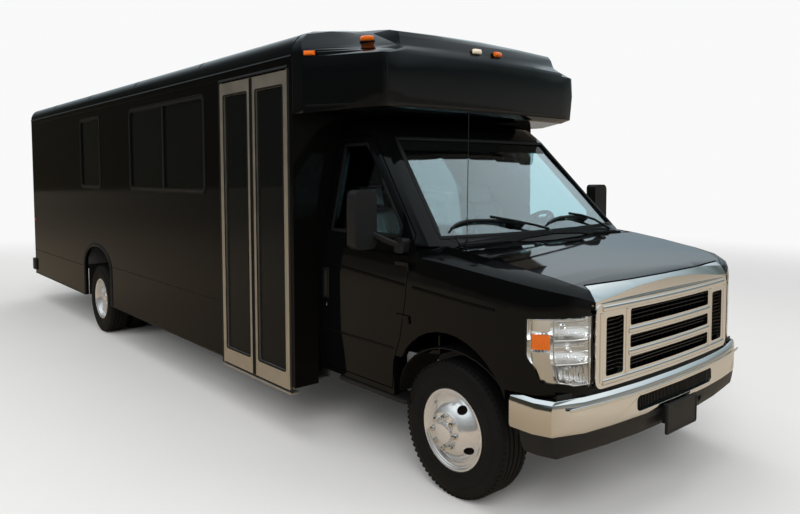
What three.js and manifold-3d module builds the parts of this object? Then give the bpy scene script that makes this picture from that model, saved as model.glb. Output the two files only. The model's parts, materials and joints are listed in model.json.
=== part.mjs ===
// A shuttle-type party bus: a cutaway van chassis and cab with a long coach body.
// Millimetres. +Z is up, the front faces -Y, +X is the driver's side and the entry door is at -X.
// Everything is first placed with the front axle at y = 0 and the ground at z = 0, and the whole
// group is then moved so that its origin lies under the middle of the vehicle.
import * as THREE from "three";
import { mergeVertices } from "three/addons/utils/BufferGeometryUtils.js";
import Module from "manifold-3d";

const wasm = await Module();
wasm.setup();

// ---------------------------------------------------------------- driving dimensions
const FIT = 0.3; // gap between pieces that touch
const SHUT = 6; // shut line round a door, lid or other moving piece

// chassis
const WHEELBASE = 5300;
const RAIL_OUTER = 432;
const RAIL_FLANGE = 64;
const RAIL_WEB = 8;
const RAIL_BOTTOM = 519.7;
const RAIL_HEIGHT = 180;
const RAIL_FRONT = -560;
const RAIL_REAR_MARGIN = 120;
const KINGPIN_X = 790;
const STEER_ARM = 125;
const TIE_ROD_Z = 286;
const KINGPIN_RADIUS = 14;
const BEAM_EYE = { radius: 24, low: 334, high: 402 };

// wheels
const TYRE_RADIUS = 370;
const TYRE_WIDTH = 223;
const TYRE_WALL = 20;
const RIM_RADIUS = 222;
const RIM_WIDTH = 190;
const RIM_WALL = 14;
const BEAD = { proud: 2.5, width: 16 }; // the tyre's edge where it seats on the rim's flange
const WHEEL_FACETS = 18;
const FRONT_WHEEL_FACE = 975;
const REAR_WHEEL_FACE = 1172;
const DUAL_GAP = 39; // between the walls of a pair of rear tyres
const DUAL_SPACING = TYRE_WIDTH + DUAL_GAP;

// coach body
const COACH_HALF = 1190;
const COACH_FRONT = 1204;
const COACH_REAR = 8120;
const COACH_SKIRT = 352;
const GUTTER_Z = 2500;
const ROOF_RADIUS = 150;
const ROOF_CROWN = 62;
const WALL = 40;
const FLOOR_TOP = 760;
const FLOOR_THICK = 60;

// coach openings
const WINDOW_BOTTOM = 1594;
const WINDOW_TOP = 2364;
const WINDOW_CORNER = 60;
const WINDOW_FRAME = 34;
const REAR_WINDOW = [5097, 5803];
const SLIDER_WINDOW = [2499, 4186];
const ENTRY = { front: 1262, rear: 2217, bottom: 326, top: 2411, gap: 8 };
const LEAF_PIVOT = { inset: 10, x: COACH_HALF - 4, radius: 6 };
const LEAF_THICK = 34;
const LEAF_STILE = 62;
const LEAF_RAIL = { bottom: 120, top: 96 };
const LEAF_GAP = 10;
const LEAF_PROUD = 4;
const REAR_DOOR = { half: 430, bottom: 800, top: 2330 };
const REAR_GLASS = { half: 280, low: 1560, high: 2180 };
const REAR_ARCH = { half: 470, spring: 720, top: 970 };
const WHEELHOUSE_TOP = 985;
const WHEELHOUSE_CLEAR = 47; // from the inner tyre to the inside of the wheelhouse
const WHEELHOUSE_INSIDE = REAR_WHEEL_FACE - DUAL_SPACING - TYRE_WIDTH - WHEELHOUSE_CLEAR;
const SHEET = 12;
const BENCH = { seat: 1130, height: 1130, depth: 500, cushion: 110, rest: 120, top: 1560 };

// cab
const CAB_HALF = 1008;
const CAB_BACK = 1400;
const CAB_SILL = 460;
const CAB_SHELL = 42;
const BELT_Z = 1350;
const CAB_ROOF = 2118;
const BODY_EDGE = 862; // where the bonnet's side meets the fender, beside the screen
const COWL_Y = 150; // front of the cab's own sheet metal
const BONNET_REAR = [-22, -8, 38]; // rear edge of the bonnet at the middle, half way and the side
const BONNET_SKIN = 26;
const COWL_SKIN = 18;
const HOOD_HINGE = { x: 825, y: 76, z: 1305, pin: 8, arm: 12 };
const FENDER_REAR = 280;
const FRONT_ARCH = { z: 484, radius: 420 };
const NOSE_Y = -705;
const CAB_FLOOR = 700;
const CAB_FLOOR_THICK = 25;

// nose
const GRILLE = { half: 690, bottom: 700, top: 1118, depth: 70, bow: 28, brow: 1200, browRear: -600 };
const BAYS = [[756, 822], [868, 932], [982, 1066]]; // heights of the openings between the bars
const BUMPER = { front: -775, end: -420, half: 985, bottom: 516, top: 682, wall: 16, ledge: 95 };
const VALANCE = { bottom: 404, fold: 460, wall: 18 };

const FRONT_END = BUMPER.front;
const REAR_BUMPER_DEPTH = 95;
const REAR_END = COACH_REAR + REAR_BUMPER_DEPTH;

// ---------------------------------------------------------------- colours
const paint = (color, roughness, metalness = 0) =>
  new THREE.MeshStandardMaterial({ color, roughness, metalness });
const BLACK_PAINT = paint(0x0b0d11, 0.18, 0.1);
const BLACK_PLASTIC = paint(0x17181a, 0.55);
const CHROME = paint(0xd9dadb, 0.12, 1);
const ALUMINIUM = paint(0xb9bab8, 0.38, 0.9);
const DARK_GLASS = paint(0x08090b, 0.05);
const CLEAR_GLASS = paint(0x9fb6b4, 0.05);
const RUBBER = paint(0x141414, 0.85);
const FRAME_STEEL = paint(0x1b1b1c, 0.6, 0.4);
const CAST_STEEL = paint(0x3a3936, 0.6, 0.6);
const TRIM_GREY = paint(0x55554f, 0.8);
const SEAT_VINYL = paint(0x1d1b1c, 0.6);
const LENS = paint(0xd8dde0, 0.1);

// ---------------------------------------------------------------- making solids
// A closed three.js geometry as a manifold solid, with its faces turned outwards.
function solidOf(geometry) {
  const plain = geometry.index ? geometry.toNonIndexed() : geometry;
  const bare = new THREE.BufferGeometry();
  bare.setAttribute("position", plain.getAttribute("position"));
  const merged = mergeVertices(bare, 1e-3);
  const triangles = [];
  for (let i = 0; i < merged.index.count; i += 3) {
    const [a, b, c] = merged.index.array.subarray(i, i + 3);
    if (a !== b && b !== c && a !== c) triangles.push([a, b, c]);
  }
  const make = (turned) =>
    new wasm.Manifold(
      new wasm.Mesh({
        numProp: 3,
        vertProperties: new Float32Array(merged.attributes.position.array),
        triVerts: new Uint32Array(triangles.flatMap(([a, b, c]) => (turned ? [a, c, b] : [a, b, c]))),
      }),
    );
  const first = make(false);
  return first.volume() < 0 ? make(true) : first;
}

function geometryOf(solid) {
  const mesh = solid.getMesh();
  const geometry = new THREE.BufferGeometry();
  geometry.setAttribute("position", new THREE.BufferAttribute(mesh.vertProperties, 3));
  geometry.setIndex(new THREE.BufferAttribute(mesh.triVerts, 1));
  geometry.computeVertexNormals();
  return geometry;
}

const union = (...solids) => solids.flat().reduce((sum, next) => sum.add(next));
const cut = (solid, ...tools) => tools.flat().reduce((rest, tool) => rest.subtract(tool), solid);

function block(x0, x1, y0, y1, z0, z1) {
  const geometry = new THREE.BoxGeometry(x1 - x0, y1 - y0, z1 - z0);
  return solidOf(geometry.translate((x0 + x1) / 2, (y0 + y1) / 2, (z0 + z1) / 2));
}

// A block whose two x limits may come in either order, for pieces that are mirrored by a sign.
const eitherWay = (a, b, ...rest) => block(Math.min(a, b), Math.max(a, b), ...rest);

// Outlines hold [u, v] pairs: (y, z) along the x axis, (x, z) along y and (x, y) along z.
const outline = (points) => new THREE.Shape(points.map(([u, v]) => new THREE.Vector2(u, v)));

function roundedBox(u0, u1, v0, v1, radius) {
  const shape = new THREE.Shape();
  shape.moveTo(u0 + radius, v0);
  shape.lineTo(u1 - radius, v0);
  shape.absarc(u1 - radius, v0 + radius, radius, -Math.PI / 2, 0);
  shape.absarc(u1 - radius, v1 - radius, radius, 0, Math.PI / 2);
  shape.absarc(u0 + radius, v1 - radius, radius, Math.PI / 2, Math.PI);
  shape.absarc(u0 + radius, v0 + radius, radius, Math.PI, 1.5 * Math.PI);
  return shape;
}

const AXES = {
  x: (from) => new THREE.Matrix4().set(0, 0, 1, from, 1, 0, 0, 0, 0, 1, 0, 0, 0, 0, 0, 1),
  y: (from, to) => new THREE.Matrix4().set(1, 0, 0, 0, 0, 0, -1, to, 0, 1, 0, 0, 0, 0, 0, 1),
  z: (from) => new THREE.Matrix4().set(1, 0, 0, 0, 0, 1, 0, 0, 0, 0, 1, from, 0, 0, 0, 1),
};

function extrude(shape, axis, from, to, curveSegments = 5) {
  const options = { depth: to - from, bevelEnabled: false, curveSegments };
  return solidOf(new THREE.ExtrudeGeometry(shape, options).applyMatrix4(AXES[axis](from, to)));
}

// A profile of [radius, height] pairs turned about an axis through `at`, its height along that axis.
function revolve(profile, axis, at, segments = 32, start = 0) {
  const points = profile.map(([r, h]) => new THREE.Vector2(r, h));
  const geometry = new THREE.LatheGeometry(points, segments, start);
  if (axis === "x") geometry.rotateZ(-Math.PI / 2);
  if (axis === "z") geometry.rotateX(Math.PI / 2);
  return solidOf(geometry.translate(...at));
}

const disc = (axis, at, radius, from, to, segments = 24) =>
  revolve([[0, from], [radius, from], [radius, to], [0, to]], axis, at, segments);

// A body through sections {at, outline} stacked along an axis, each outline of as many points.
function loft(axis, sections) {
  const place = {
    x: ([u, v], w) => [w, u, v],
    y: ([u, v], w) => [u, w, v],
    z: ([u, v], w) => [u, v, w],
  }[axis];
  const count = sections[0].outline.length;
  const positions = sections.flatMap((s) => s.outline.flatMap((p) => place(p, s.at)));
  const index = [];
  for (let s = 0; s + 1 < sections.length; s++)
    for (let i = 0; i < count; i++) {
      const [a, b] = [s * count + i, s * count + ((i + 1) % count)];
      index.push(a, b, b + count, a, b + count, a + count);
    }
  const cap = (section, base, outward) => {
    const flat = section.outline.map(([u, v]) => new THREE.Vector2(u, v));
    for (const [a, b, c] of THREE.ShapeUtils.triangulateShape(flat, [])) {
      const area = (flat[b].x - flat[a].x) * (flat[c].y - flat[a].y) -
        (flat[c].x - flat[a].x) * (flat[b].y - flat[a].y);
      if (area > 0 === outward) index.push(base + a, base + b, base + c);
      else index.push(base + a, base + c, base + b);
    }
  };
  cap(sections[0], 0, false);
  cap(sections.at(-1), (sections.length - 1) * count, true);
  const geometry = new THREE.BufferGeometry();
  geometry.setAttribute("position", new THREE.Float32BufferAttribute(positions, 3));
  geometry.setIndex(index);
  return solidOf(geometry);
}

// The other half of a half outline that starts and ends on the middle line x = 0.
const mirrored = (half) => [...half, ...half.slice(1, -1).reverse().map(([u, v]) => [-u, v])];

function tube(points, radius, sides = 10) {
  const curve = new THREE.CatmullRomCurve3(points.map((p) => new THREE.Vector3(...p)), false, "centripetal");
  const ring = new THREE.Shape().absarc(0, 0, radius, 0, 2 * Math.PI);
  const options = { steps: 2 * (points.length - 1), extrudePath: curve, curveSegments: sides / 2 };
  return solidOf(new THREE.ExtrudeGeometry(ring, options));
}

const mirrorX = (solid) => solid.mirror([1, 0, 0]);
const SIDES = [["right", -1], ["left", 1]];

// ---------------------------------------------------------------- the vehicle's group
const bus = new THREE.Group();
bus.position.y = -(FRONT_END + REAR_END) / 2;

function add(name, solid, material) {
  const mesh = new THREE.Mesh(geometryOf(solid), material);
  mesh.name = name;
  bus.add(mesh);
}

// Builds a piece for the right side (x below 0) and its mirror image for the left.
function addPair(name, solid, material) {
  for (const [side, sign] of SIDES)
    add(`${name}_${side}`, sign < 0 ? solid : mirrorX(solid), material);
}

// ---------------------------------------------------------------- cab form
// Columns: y, half width at the belt, half width at the sill, bonnet edge x and z, centre z.
const BODY_STATIONS = [
  [NOSE_Y, 700, 690, 600, 1135, 1180],
  [-672, 800, 790, 690, 1180, 1216],
  [-620, 888, 880, 760, 1212, 1242],
  [-540, 950, 940, 805, 1240, 1266],
  [-400, 984, 972, 835, 1268, 1294],
  [-200, 1000, 986, 852, 1300, 1322],
  [0, CAB_HALF - 2, 990, BODY_EDGE, 1328, 1342],
  [200, CAB_HALF, 990, 866, BELT_Z - 2, BELT_Z + 4],
  [CAB_BACK, CAB_HALF, 990, 866, BELT_Z - 2, BELT_Z + 4],
];
const SHOULDER_Z = [0.72, 0.9]; // shares of the way from the belt crease to the bonnet edge
const CREASE_Z = 1110;
const TUCK_Z = 760;

function lowerBody(inset) {
  const sections = BODY_STATIONS.map(([y, belt, sill, edgeX, edgeZ, midZ], i) => {
    const rise = edgeZ - CREASE_Z;
    const half = [
      [0, CAB_SILL - (inset > 0 ? 10 : 0)],
      [sill - inset, CAB_SILL - (inset > 0 ? 10 : 0)],
      [belt - inset, TUCK_Z],
      [belt - inset, CREASE_Z],
      [belt - 0.12 * (belt - edgeX) - inset, CREASE_Z + SHOULDER_Z[0] * rise - inset / 3],
      [belt - 0.45 * (belt - edgeX) - inset, CREASE_Z + SHOULDER_Z[1] * rise - inset],
      [edgeX - inset / 2, edgeZ - inset],
      [edgeX * 0.5, edgeZ + 0.75 * (midZ - edgeZ) - inset],
      [0, midZ - inset],
    ];
    const back = i === BODY_STATIONS.length - 1 && inset > 0 ? 10 : 0;
    return { at: Math.max(y, NOSE_Y + inset + i) + back, outline: mirrored(half) };
  });
  return loft("y", sections);
}

// Columns: z, screen centre y, screen corner x and y, side half width.
const GLASSHOUSE_STATIONS = [
  [BELT_Z - 90, -36, 897, 108, 980],
  [BELT_Z, 38, 885, 176, 972],
  [1980, 684, 757, 751, 838],
  [2060, 786, 738, 850, 812],
  [CAB_ROOF, 910, 700, 960, 770],
];

function glasshouse(inset) {
  const sections = GLASSHOUSE_STATIONS.map(([z, midY, cornerX, cornerY, side], i) => {
    const back = CAB_BACK + (inset > 0 ? 10 : 0);
    const bow = (x) => midY + (cornerY - midY) * (x / cornerX) ** 2 + inset * 1.35;
    const half = [
      ...[0, 0.3, 0.6, 0.85, 1].map((s) => [s * (cornerX - inset), bow(s * cornerX)]),
      [cornerX + 0.55 * (side - cornerX) - inset, cornerY + 34 + inset],
      [cornerX + 0.9 * (side - cornerX) - inset, cornerY + 110],
      [side - inset, Math.min(cornerY + 330, CAB_BACK - 60)],
      [side - inset, back],
      [0, back],
    ];
    const top = i === GLASSHOUSE_STATIONS.length - 1 ? inset : 0;
    return { at: z - top, outline: mirrored(half) };
  });
  return loft("z", sections);
}

const cabForms = new Map();
function cabForm(inset) {
  if (!cabForms.has(inset)) cabForms.set(inset, lowerBody(inset).add(glasshouse(inset)));
  return cabForms.get(inset);
}
// The skin between two depths below the outside of the cab.
const cabSkin = (outer, inner) => cabForm(outer).subtract(cabForm(inner));

// ---------------------------------------------------------------- cab openings
const DOOR_REAR = 1170;
const DOOR_BOTTOM = 492;
// Side view of the right or left door, in (y, z).
const DOOR_OUTLINE = [
  [452, DOOR_BOTTOM], [DOOR_REAR - 30, DOOR_BOTTOM], [DOOR_REAR - 4, 620], [DOOR_REAR, 900],
  [DOOR_REAR, BELT_Z], [DOOR_REAR, 1990], [838, 1990], [300, 1402], [290, 1330], [318, 1040],
  [368, 800], [430, 660],
];
const SIDE_GLASS = [
  [430, 1392], [DOOR_REAR - 84, 1392], [DOOR_REAR - 84, 1926], [866, 1926], [430, 1450],
];
const DOOR_HINGE = { x: CAB_HALF + 7, y: 290, radius: 6, leaf: 7, heights: [905, 1205], height: 44 };
const SCREEN = { bottom: 1386, top: 1966, halfBottom: 846, halfTop: 722 };

// An outline shrunk (or grown, when by is negative) along its corner bisectors.
function shrink(points, by) {
  const area = points.reduce((sum, [x, y], i) => {
    const [u, v] = points[(i + 1) % points.length];
    return sum + x * v - u * y;
  }, 0);
  const turn = Math.sign(area);
  return points.map((p, i) => {
    const before = points[(i + points.length - 1) % points.length];
    const after = points[(i + 1) % points.length];
    const normal = (a, b) => {
      const length = Math.hypot(b[0] - a[0], b[1] - a[1]);
      return [(-(b[1] - a[1]) / length) * turn, ((b[0] - a[0]) / length) * turn];
    };
    const [n1, n2] = [normal(before, p), normal(p, after)];
    const reach = by / (1 + n1[0] * n2[0] + n1[1] * n2[1]);
    return [p[0] + (n1[0] + n2[0]) * reach, p[1] + (n1[1] + n2[1]) * reach];
  });
}

const sidePrism = (points, sign = -1) =>
  sign < 0
    ? extrude(outline(points), "x", -1300, -620)
    : extrude(outline(points), "x", 620, 1300);

function screenPrism(by) {
  const { bottom, top, halfBottom, halfTop } = SCREEN;
  const corners = [[-halfBottom, bottom], [halfBottom, bottom], [halfTop, top], [-halfTop, top]];
  return extrude(outline(shrink(corners, by)), "y", -100, 900);
}

const archTool = (grow = 0) =>
  disc("x", [0, 0, FRONT_ARCH.z], FRONT_ARCH.radius + grow, -1300, 1300, 36).add(
    block(-1300, 1300, -FRONT_ARCH.radius - grow, FRONT_ARCH.radius + grow, 0, FRONT_ARCH.z),
  );

// ---------------------------------------------------------------- cab
function buildCab() {
  const shell = cabSkin(0, CAB_SHELL);
  const cabZone = union(
    block(-1300, 1300, FENDER_REAR + FIT, CAB_BACK - 2, CAB_SILL, 2300),
    block(-1300, 1300, -60, FENDER_REAR + 1, BELT_Z - 8 + FIT, 2300));
  const cowl = lowerBody(0).subtract(lowerBody(COWL_SKIN)).intersect(
    block(-BODY_EDGE + SHUT / 2, BODY_EDGE - SHUT / 2, -60, FENDER_REAR + 1, 1200, BELT_Z + 20));
  const doorHoles = [-1, 1].map((sign) => sidePrism(DOOR_OUTLINE, sign));
  const underBonnet = extrude(hoodPlan(-SHUT / 2), "z", 900, 1600);
  const { x: hingeX, y: hingeY } = HOOD_HINGE;
  const hingeSlot = block(-hingeX - 18, -hingeX + 18, -40, hingeY + 24, 1270, 1400);
  const wheelCorner = block(-1300, 1300, -900, 440, 0, 700);
  const wallY = COWL_Y + 2;
  const firewall = block(-900, 900, wallY, wallY + SHEET, 760, BELT_Z - 30).intersect(cabForm(CAB_SHELL - 2));
  const toeBoard = extrude(
    outline([[wallY, 760], [wallY + SHEET, 760], [470, CAB_FLOOR + 20], [470, CAB_FLOOR], [440, CAB_FLOOR],
      [wallY, 742]]), "x", -900, 900);
  const floor = block(-930, 930, 440, CAB_BACK - 2, CAB_FLOOR, CAB_FLOOR + CAB_FLOOR_THICK);
  const rocker = extrude(
    outline([[-975, CAB_SILL], [-880, CAB_SILL], [-880, CAB_FLOOR + 10], [-940, CAB_FLOOR + 10], [-940, 490],
      [-975, 486]]), "y", 452, CAB_BACK - 2);
  let body = cut(union(shell.intersect(cabZone), cowl), doorHoles, screenPrism(0), archTool(), wheelCorner,
    underBonnet, hingeSlot, mirrorX(hingeSlot));
  const hingeSeat = hoodHingeSeat();
  body = union(body, firewall, toeBoard, floor, rocker, mirrorX(rocker), hingeSeat, mirrorX(hingeSeat));
  const doghouse = doghouseForm(0);
  body = union(cut(body, doghouse), cut(doghouseForm(0), doghouseForm(SHEET)));
  body = cut(body, doghouseForm(SHEET));
  const rearOpening = block(-850, 850, CAB_BACK - 200, CAB_BACK + 10, CAB_FLOOR + CAB_FLOOR_THICK, 2060);
  const leaves = doorHinges()[0];
  body = union(cut(body, rearOpening, railClearance()), leaves, mirrorX(leaves));
  add("cab_body", body, BLACK_PAINT);

  add("windshield", cabSkin(10, 16).intersect(screenPrism(FIT)), CLEAR_GLASS);

  const doorShape = shrink(DOOR_OUTLINE, SHUT);
  const doorLeaves = doorHinges()[1];
  const doorSkin = cabSkin(0, CAB_SHELL - 2).intersect(sidePrism(doorShape));
  const door = union(cut(doorSkin, sidePrism(SIDE_GLASS), archTool(4)), doorLeaves);
  addPair("cab_door", door, BLACK_PAINT);
  addPair("cab_door_glass", cabSkin(12, 17).intersect(sidePrism(shrink(SIDE_GLASS, FIT))), CLEAR_GLASS);

  buildMirrors();
  buildNose();
  buildCabInside();
}

// The right door's two hinges: the leaves and knuckles on the body, and those on the door.
function doorHinges() {
  const { x, y, radius, leaf, heights, height } = DOOR_HINGE;
  const half = height / 2 - 0.5;
  const [face, root] = [-x - leaf / 2, -CAB_HALF + 25];
  const knuckle = (z) => disc("z", [-x, y, 0], radius, z, z + half, 10);
  const body = heights.map((z) => knuckle(z).add(block(face, root, y - radius - 3, y - 1, z, z + half)));
  const door = heights.map((z) => z + height / 2).map((z) => union(
    knuckle(z),
    block(face, face + leaf, y + 2, y + 110, z, z + half),
    block(face, root, y + 74, y + 110, z, z + half)));
  return [union(body), union(door)];
}

// The cover over the rear of the engine, between the two seats. The inner form runs on through
// the floor and the firewall, so that the cover is open to the engine.
function doghouseForm(inset) {
  const half = 330 - inset;
  const through = inset > 0 ? 60 : 0;
  const [front, low] = [COWL_Y + 2 - through, CAB_FLOOR - 40 - through];
  return extrude(
    outline([[front, low], [860 - inset, low], [860 - inset, 900 - inset], [700 - inset, 1010 - inset],
      [front, 1080 - inset]]),
    "x", -half, half);
}

// What carries one of the bonnet's two arms: an ear on the firewall with a pin through the arm.
function hoodHingeSeat() {
  const { x, y, z, pin, arm } = HOOD_HINGE;
  const inner = -x + arm / 2 + 1;
  const ear = block(inner, inner + 14, y - 16, COWL_Y + 3, z - 16, z + 8);
  return union(ear, disc("x", [0, y, z], pin, -x - arm / 2 - 3, inner + 1, 12));
}

// One arm, from its eye to the underside of the bonnet.
function hoodArm() {
  const { x, y, z, pin, arm } = HOOD_HINGE;
  const side = outline([[y - 120, z - 22], [y - 20, z - 18], [y + 12, z - 14], [y + 14, z + 10],
    [y - 14, z + 13], [y - 60, z + 4], [y - 120, z + 2]]);
  const plate = extrude(side, "x", -x - arm / 2, -x + arm / 2);
  return plate.subtract(disc("x", [0, y, z], pin + 0.5, -x - arm, -x + arm, 12));
}

const railClearance = () =>
  [-1, 1].map((sign) => {
    const [inner, outer] = [RAIL_OUTER - RAIL_FLANGE - 4, RAIL_OUTER + 4];
    return eitherWay(sign * inner, sign * outer,
      RAIL_FRONT - 10, CAB_BACK, 0, RAIL_BOTTOM + RAIL_HEIGHT + FIT);
  });

// ---------------------------------------------------------------- mirrors
const MIRROR = { x: 1158, width: 155, depth: 76, bottom: 1318, top: 1655, y: 520 };
const MIRROR_FOOT = { y: [330, 412], z: [1296, 1380] };

function buildMirrors() {
  const { x, width, depth, bottom, top, y } = MIRROR;
  const half = width / 2;
  const front = roundedBox(-x - half, -x + half, bottom, top, 42);
  const head = extrude(front, "y", y - depth / 2, y + depth / 2, 3);
  const footMid = [MIRROR_FOOT.y, MIRROR_FOOT.z].map(([low, high]) => (low + high) / 2);
  const foot = roundedBox(...MIRROR_FOOT.y, ...MIRROR_FOOT.z, 20);
  const base = extrude(foot, "x", -CAB_HALF - 6, -CAB_HALF + 90, 2);
  const arm = tube([[-CAB_HALF + 8, ...footMid], [-CAB_HALF - 50, footMid[0] + 60, footMid[1] + 30],
    [-x + 40, y, footMid[1] + 80]], 17, 6);
  addPair("mirror", cut(union(head, base, arm), cabForm(-FIT)), BLACK_PLASTIC);
}

// ---------------------------------------------------------------- nose
function hoodPlan(by) {
  const edge = BODY_STATIONS.filter(([y]) => y <= 0).map(([y, , , edgeX]) => [edgeX - by, y]);
  const [mid, quarter, side] = BONNET_REAR.map((y) => y - 2 * by);
  const front = NOSE_Y - 40;
  const half = [[0, front], [edge[0][0], front], ...edge, [BODY_EDGE - by, side], [430, quarter], [0, mid]];
  return outline(mirrored(half));
}

const HEADLIGHT = { bottom: 722, top: 1072, inner: 712, rear: -500 };

function buildNose() {
  const skin = lowerBody(0).subtract(lowerBody(BONNET_SKIN));
  const hood = cut(skin.intersect(extrude(hoodPlan(SHUT / 2), "z", GRILLE.top + 8, 1500)), browZone(SHUT));
  add("hood", union(hood, hoodArm(), mirrorX(hoodArm())), BLACK_PAINT);

  const fenderZone = block(-1300, -300, NOSE_Y - 20, FENDER_REAR, 560, BELT_Z - 8);
  const keepDoor = sidePrism(DOOR_OUTLINE);
  const underHood = extrude(hoodPlan(-SHUT / 2), "z", 900, 1600);
  const noseOpening = block(-GRILLE.half - 30, 0, NOSE_Y - 30, NOSE_Y + 150, 500, GRILLE.top + 4);
  const bumperRoom = block(-1300, 0, NOSE_Y - 30, BUMPER.end + 30, 500, BUMPER.top + 8);
  const lamp = headlightPrism(-FIT);
  const cowl = block(-BODY_EDGE - SHUT / 2, 0, -100, 400, 1190, 1500);
  const fender = cut(skin.intersect(fenderZone), underHood, cowl, noseOpening, bumperRoom, lamp, archTool(),
    keepDoor, browZone(2));
  const parts = fender.decompose().sort((a, b) => b.volume() - a.volume());
  addPair("fender", parts[0], BLACK_PAINT);
  addPair("headlight", headlightPrism(0).intersect(cabSkin(0, 70)), LENS);
  buildGrille();
  buildBumper();
}

function headlightPrism(by) {
  const { bottom, top, inner, rear } = HEADLIGHT;
  const face = outline([[-1040, bottom + 196 + by], [-970 + by, bottom + 196 + by],
    [-930 + by, bottom + 34 + by], [-inner - by, bottom + by], [-inner - by, top - by],
    [-1040, top - 18 - by]]);
  return extrude(face, "y", NOSE_Y - 30, rear - by);
}

// The brow over the grille, cut from the same skin as the bonnet.
const browZone = (by) =>
  block(-GRILLE.half - by, GRILLE.half + by, NOSE_Y - 30, GRILLE.browRear + by, GRILLE.top - 30 - by,
    GRILLE.brow + by);

// A chrome surround with a sloping brow, two side slots and three wide bays between heavy bars.
function buildGrille() {
  const { half, bottom, top, depth, bow } = GRILLE;
  const [front, back] = [NOSE_Y - 4 - bow, NOSE_Y - 12 + depth];
  const through = (u0, u1, v0, v1, radius) =>
    extrude(roundedBox(u0, u1, v0, v1, radius), "y", front - 5, back + 5, 2);
  const plan = [0, 0.3, 0.55, 0.8, 1].map((s) => [s * (half + 1), front + bow * s ** 2]);
  const bowed = outline(mirrored([...plan, [half + 1, back + 1], [0, back + 1]]));
  const frame = extrude(roundedBox(-half, half, bottom, top - 2, 46), "y", front, back)
    .intersect(extrude(bowed, "z", bottom - 1, top + 1));
  const [bayHalf, post, edge] = [415, 58, 78];
  const sideSlots = [-1, 1].map((sign) => {
    const [a, b] = [sign * (bayHalf + post), sign * (half - edge)];
    return through(Math.min(a, b), Math.max(a, b), BAYS[0][0], BAYS.at(-1)[1] - 20, 14);
  });
  const bays = BAYS.map(([low, high]) => through(-bayHalf, bayHalf, low, high, 12));
  const brow = lowerBody(0).subtract(lowerBody(BONNET_SKIN)).intersect(browZone(0));
  add("grille", cut(union(frame, brow), sideSlots, bays), CHROME);
}

// The bumper's plan, drawn in by a distance, and a body through several such plans.
function bumperRing(by) {
  const { front, end, half } = BUMPER;
  const bowed = [0, 0.35, 0.6, 0.8].map((s) => [s * (half - by), front + by + 95 * s ** 2.4]);
  const rear = end + 200;
  return mirrored([...bowed, [half - 30 - by, -650], [half - by, -560], [half - by, rear], [0, rear]]);
}
const bumperPlan = (by) => outline(bumperRing(by));
const bumperForm = (levels) => loft("z", levels.map(([z, by]) => ({ at: z, outline: bumperRing(by) })));

// A chrome bar with a rolled top that runs back as a ledge, and a black valance below it.
function buildBumper() {
  const { bottom, top, wall, end, half, front, ledge } = BUMPER;
  const behind = block(-1300, 1300, end, 0, 0, 900);
  const inside = (z0, z1) => block(-half + ledge, half - ledge, front + ledge + 24, 0, z0, z1);
  const bar = cut(
    bumperForm([[bottom, 6], [bottom + 16, 0], [top - 44, 0], [top - 16, 8], [top, 26]]),
    extrude(bumperPlan(wall), "z", bottom - 5, top - wall),
    inside(top - wall - 5, top + 5), behind);
  const slot = extrude(roundedBox(-400, 400, bottom + 28, bottom + 106, 26), "y", -900, -700, 3);
  add("front_bumper", cut(bar, slot), CHROME);
  const lip = bottom - FIT;
  const lower = cut(
    bumperForm([[VALANCE.bottom, 44], [VALANCE.fold, 16], [lip, 10]]),
    bumperForm([[VALANCE.bottom - 5, 44 + VALANCE.wall], [VALANCE.fold, 16 + VALANCE.wall],
      [lip - VALANCE.wall, 10 + VALANCE.wall]]),
    inside(lip - 30, lip + 5), block(-1300, 1300, end - 60, 0, 0, 900),
    extrude(roundedBox(-300, 300, VALANCE.bottom + 24, VALANCE.bottom + 76, 18), "y", -900, -740, 2));
  add("front_valance", lower, BLACK_PLASTIC);
}

// ---------------------------------------------------------------- cab inside
const STEERING = { x: 400, y: 570, z: 1320, radius: 195, rise: (40 * Math.PI) / 180 };
const COLUMN = [Math.cos(STEERING.rise), Math.sin(STEERING.rise)];

function buildCabInside() {
  const side = outline([[300, 1010], [470, 1010], [520, 1110], [500, 1290], [380, 1316], [300, 1300]]);
  const dash = cut(extrude(side, "x", -880, 880), doghouseForm(-FIT)).intersect(cabForm(CAB_SHELL + FIT));
  const along = (back) => [STEERING.x, STEERING.y - back * COLUMN[0], STEERING.z - back * COLUMN[1]];
  const column = tube([along(150), along(44.5)], 30);
  add("dashboard", dash.add(column), TRIM_GREY);

  const rim = revolve(ringProfile(STEERING.radius, 15), "z", [0, 0, 0], 18);
  const spokes = union([0, 1, 2].map((k) => {
    const angle = Math.PI / 2 + (k * 2 * Math.PI) / 3;
    return block(-18, 18, 20, STEERING.radius - 6, -26, -10).rotate([0, 0, (angle * 180) / Math.PI])
      .translate([0, 0, 14]);
  }));
  const hub = disc("z", [0, 0, 0], 62, -44, 8, 16);
  const wheel = union(rim, spokes, hub)
    .rotate([-90 + (STEERING.rise * 180) / Math.PI, 0, 0])
    .translate([STEERING.x, STEERING.y, STEERING.z]);
  add("steering_wheel", wheel, BLACK_PLASTIC);

  for (const [side, x] of [["passenger", -560], ["driver", 560]]) {
    const profile = [[700, 960], [1110, 945], [1180, 970], [1290, 1620], [1230, 1640], [1110, 1085],
      [700, 1085], [670, 1040]];
    const cushion = extrude(outline(profile), "x", x - 230, x + 230);
    const box = block(x - 190, x + 190, 740, 1130, CAB_FLOOR + CAB_FLOOR_THICK + FIT, 980)
      .subtract(cushion);
    add(`seat_${side}`, cushion.add(box), SEAT_VINYL);
  }
}

function ringProfile(radius, thickness) {
  return Array.from({ length: 6 }, (_, i) => {
    const a = (i * 2 * Math.PI) / 5;
    return [radius - thickness + thickness * Math.cos(a), thickness * Math.sin(a)];
  });
}

// ---------------------------------------------------------------- coach body
const SHOULDER_ANGLE = (80 * Math.PI) / 180;

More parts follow.
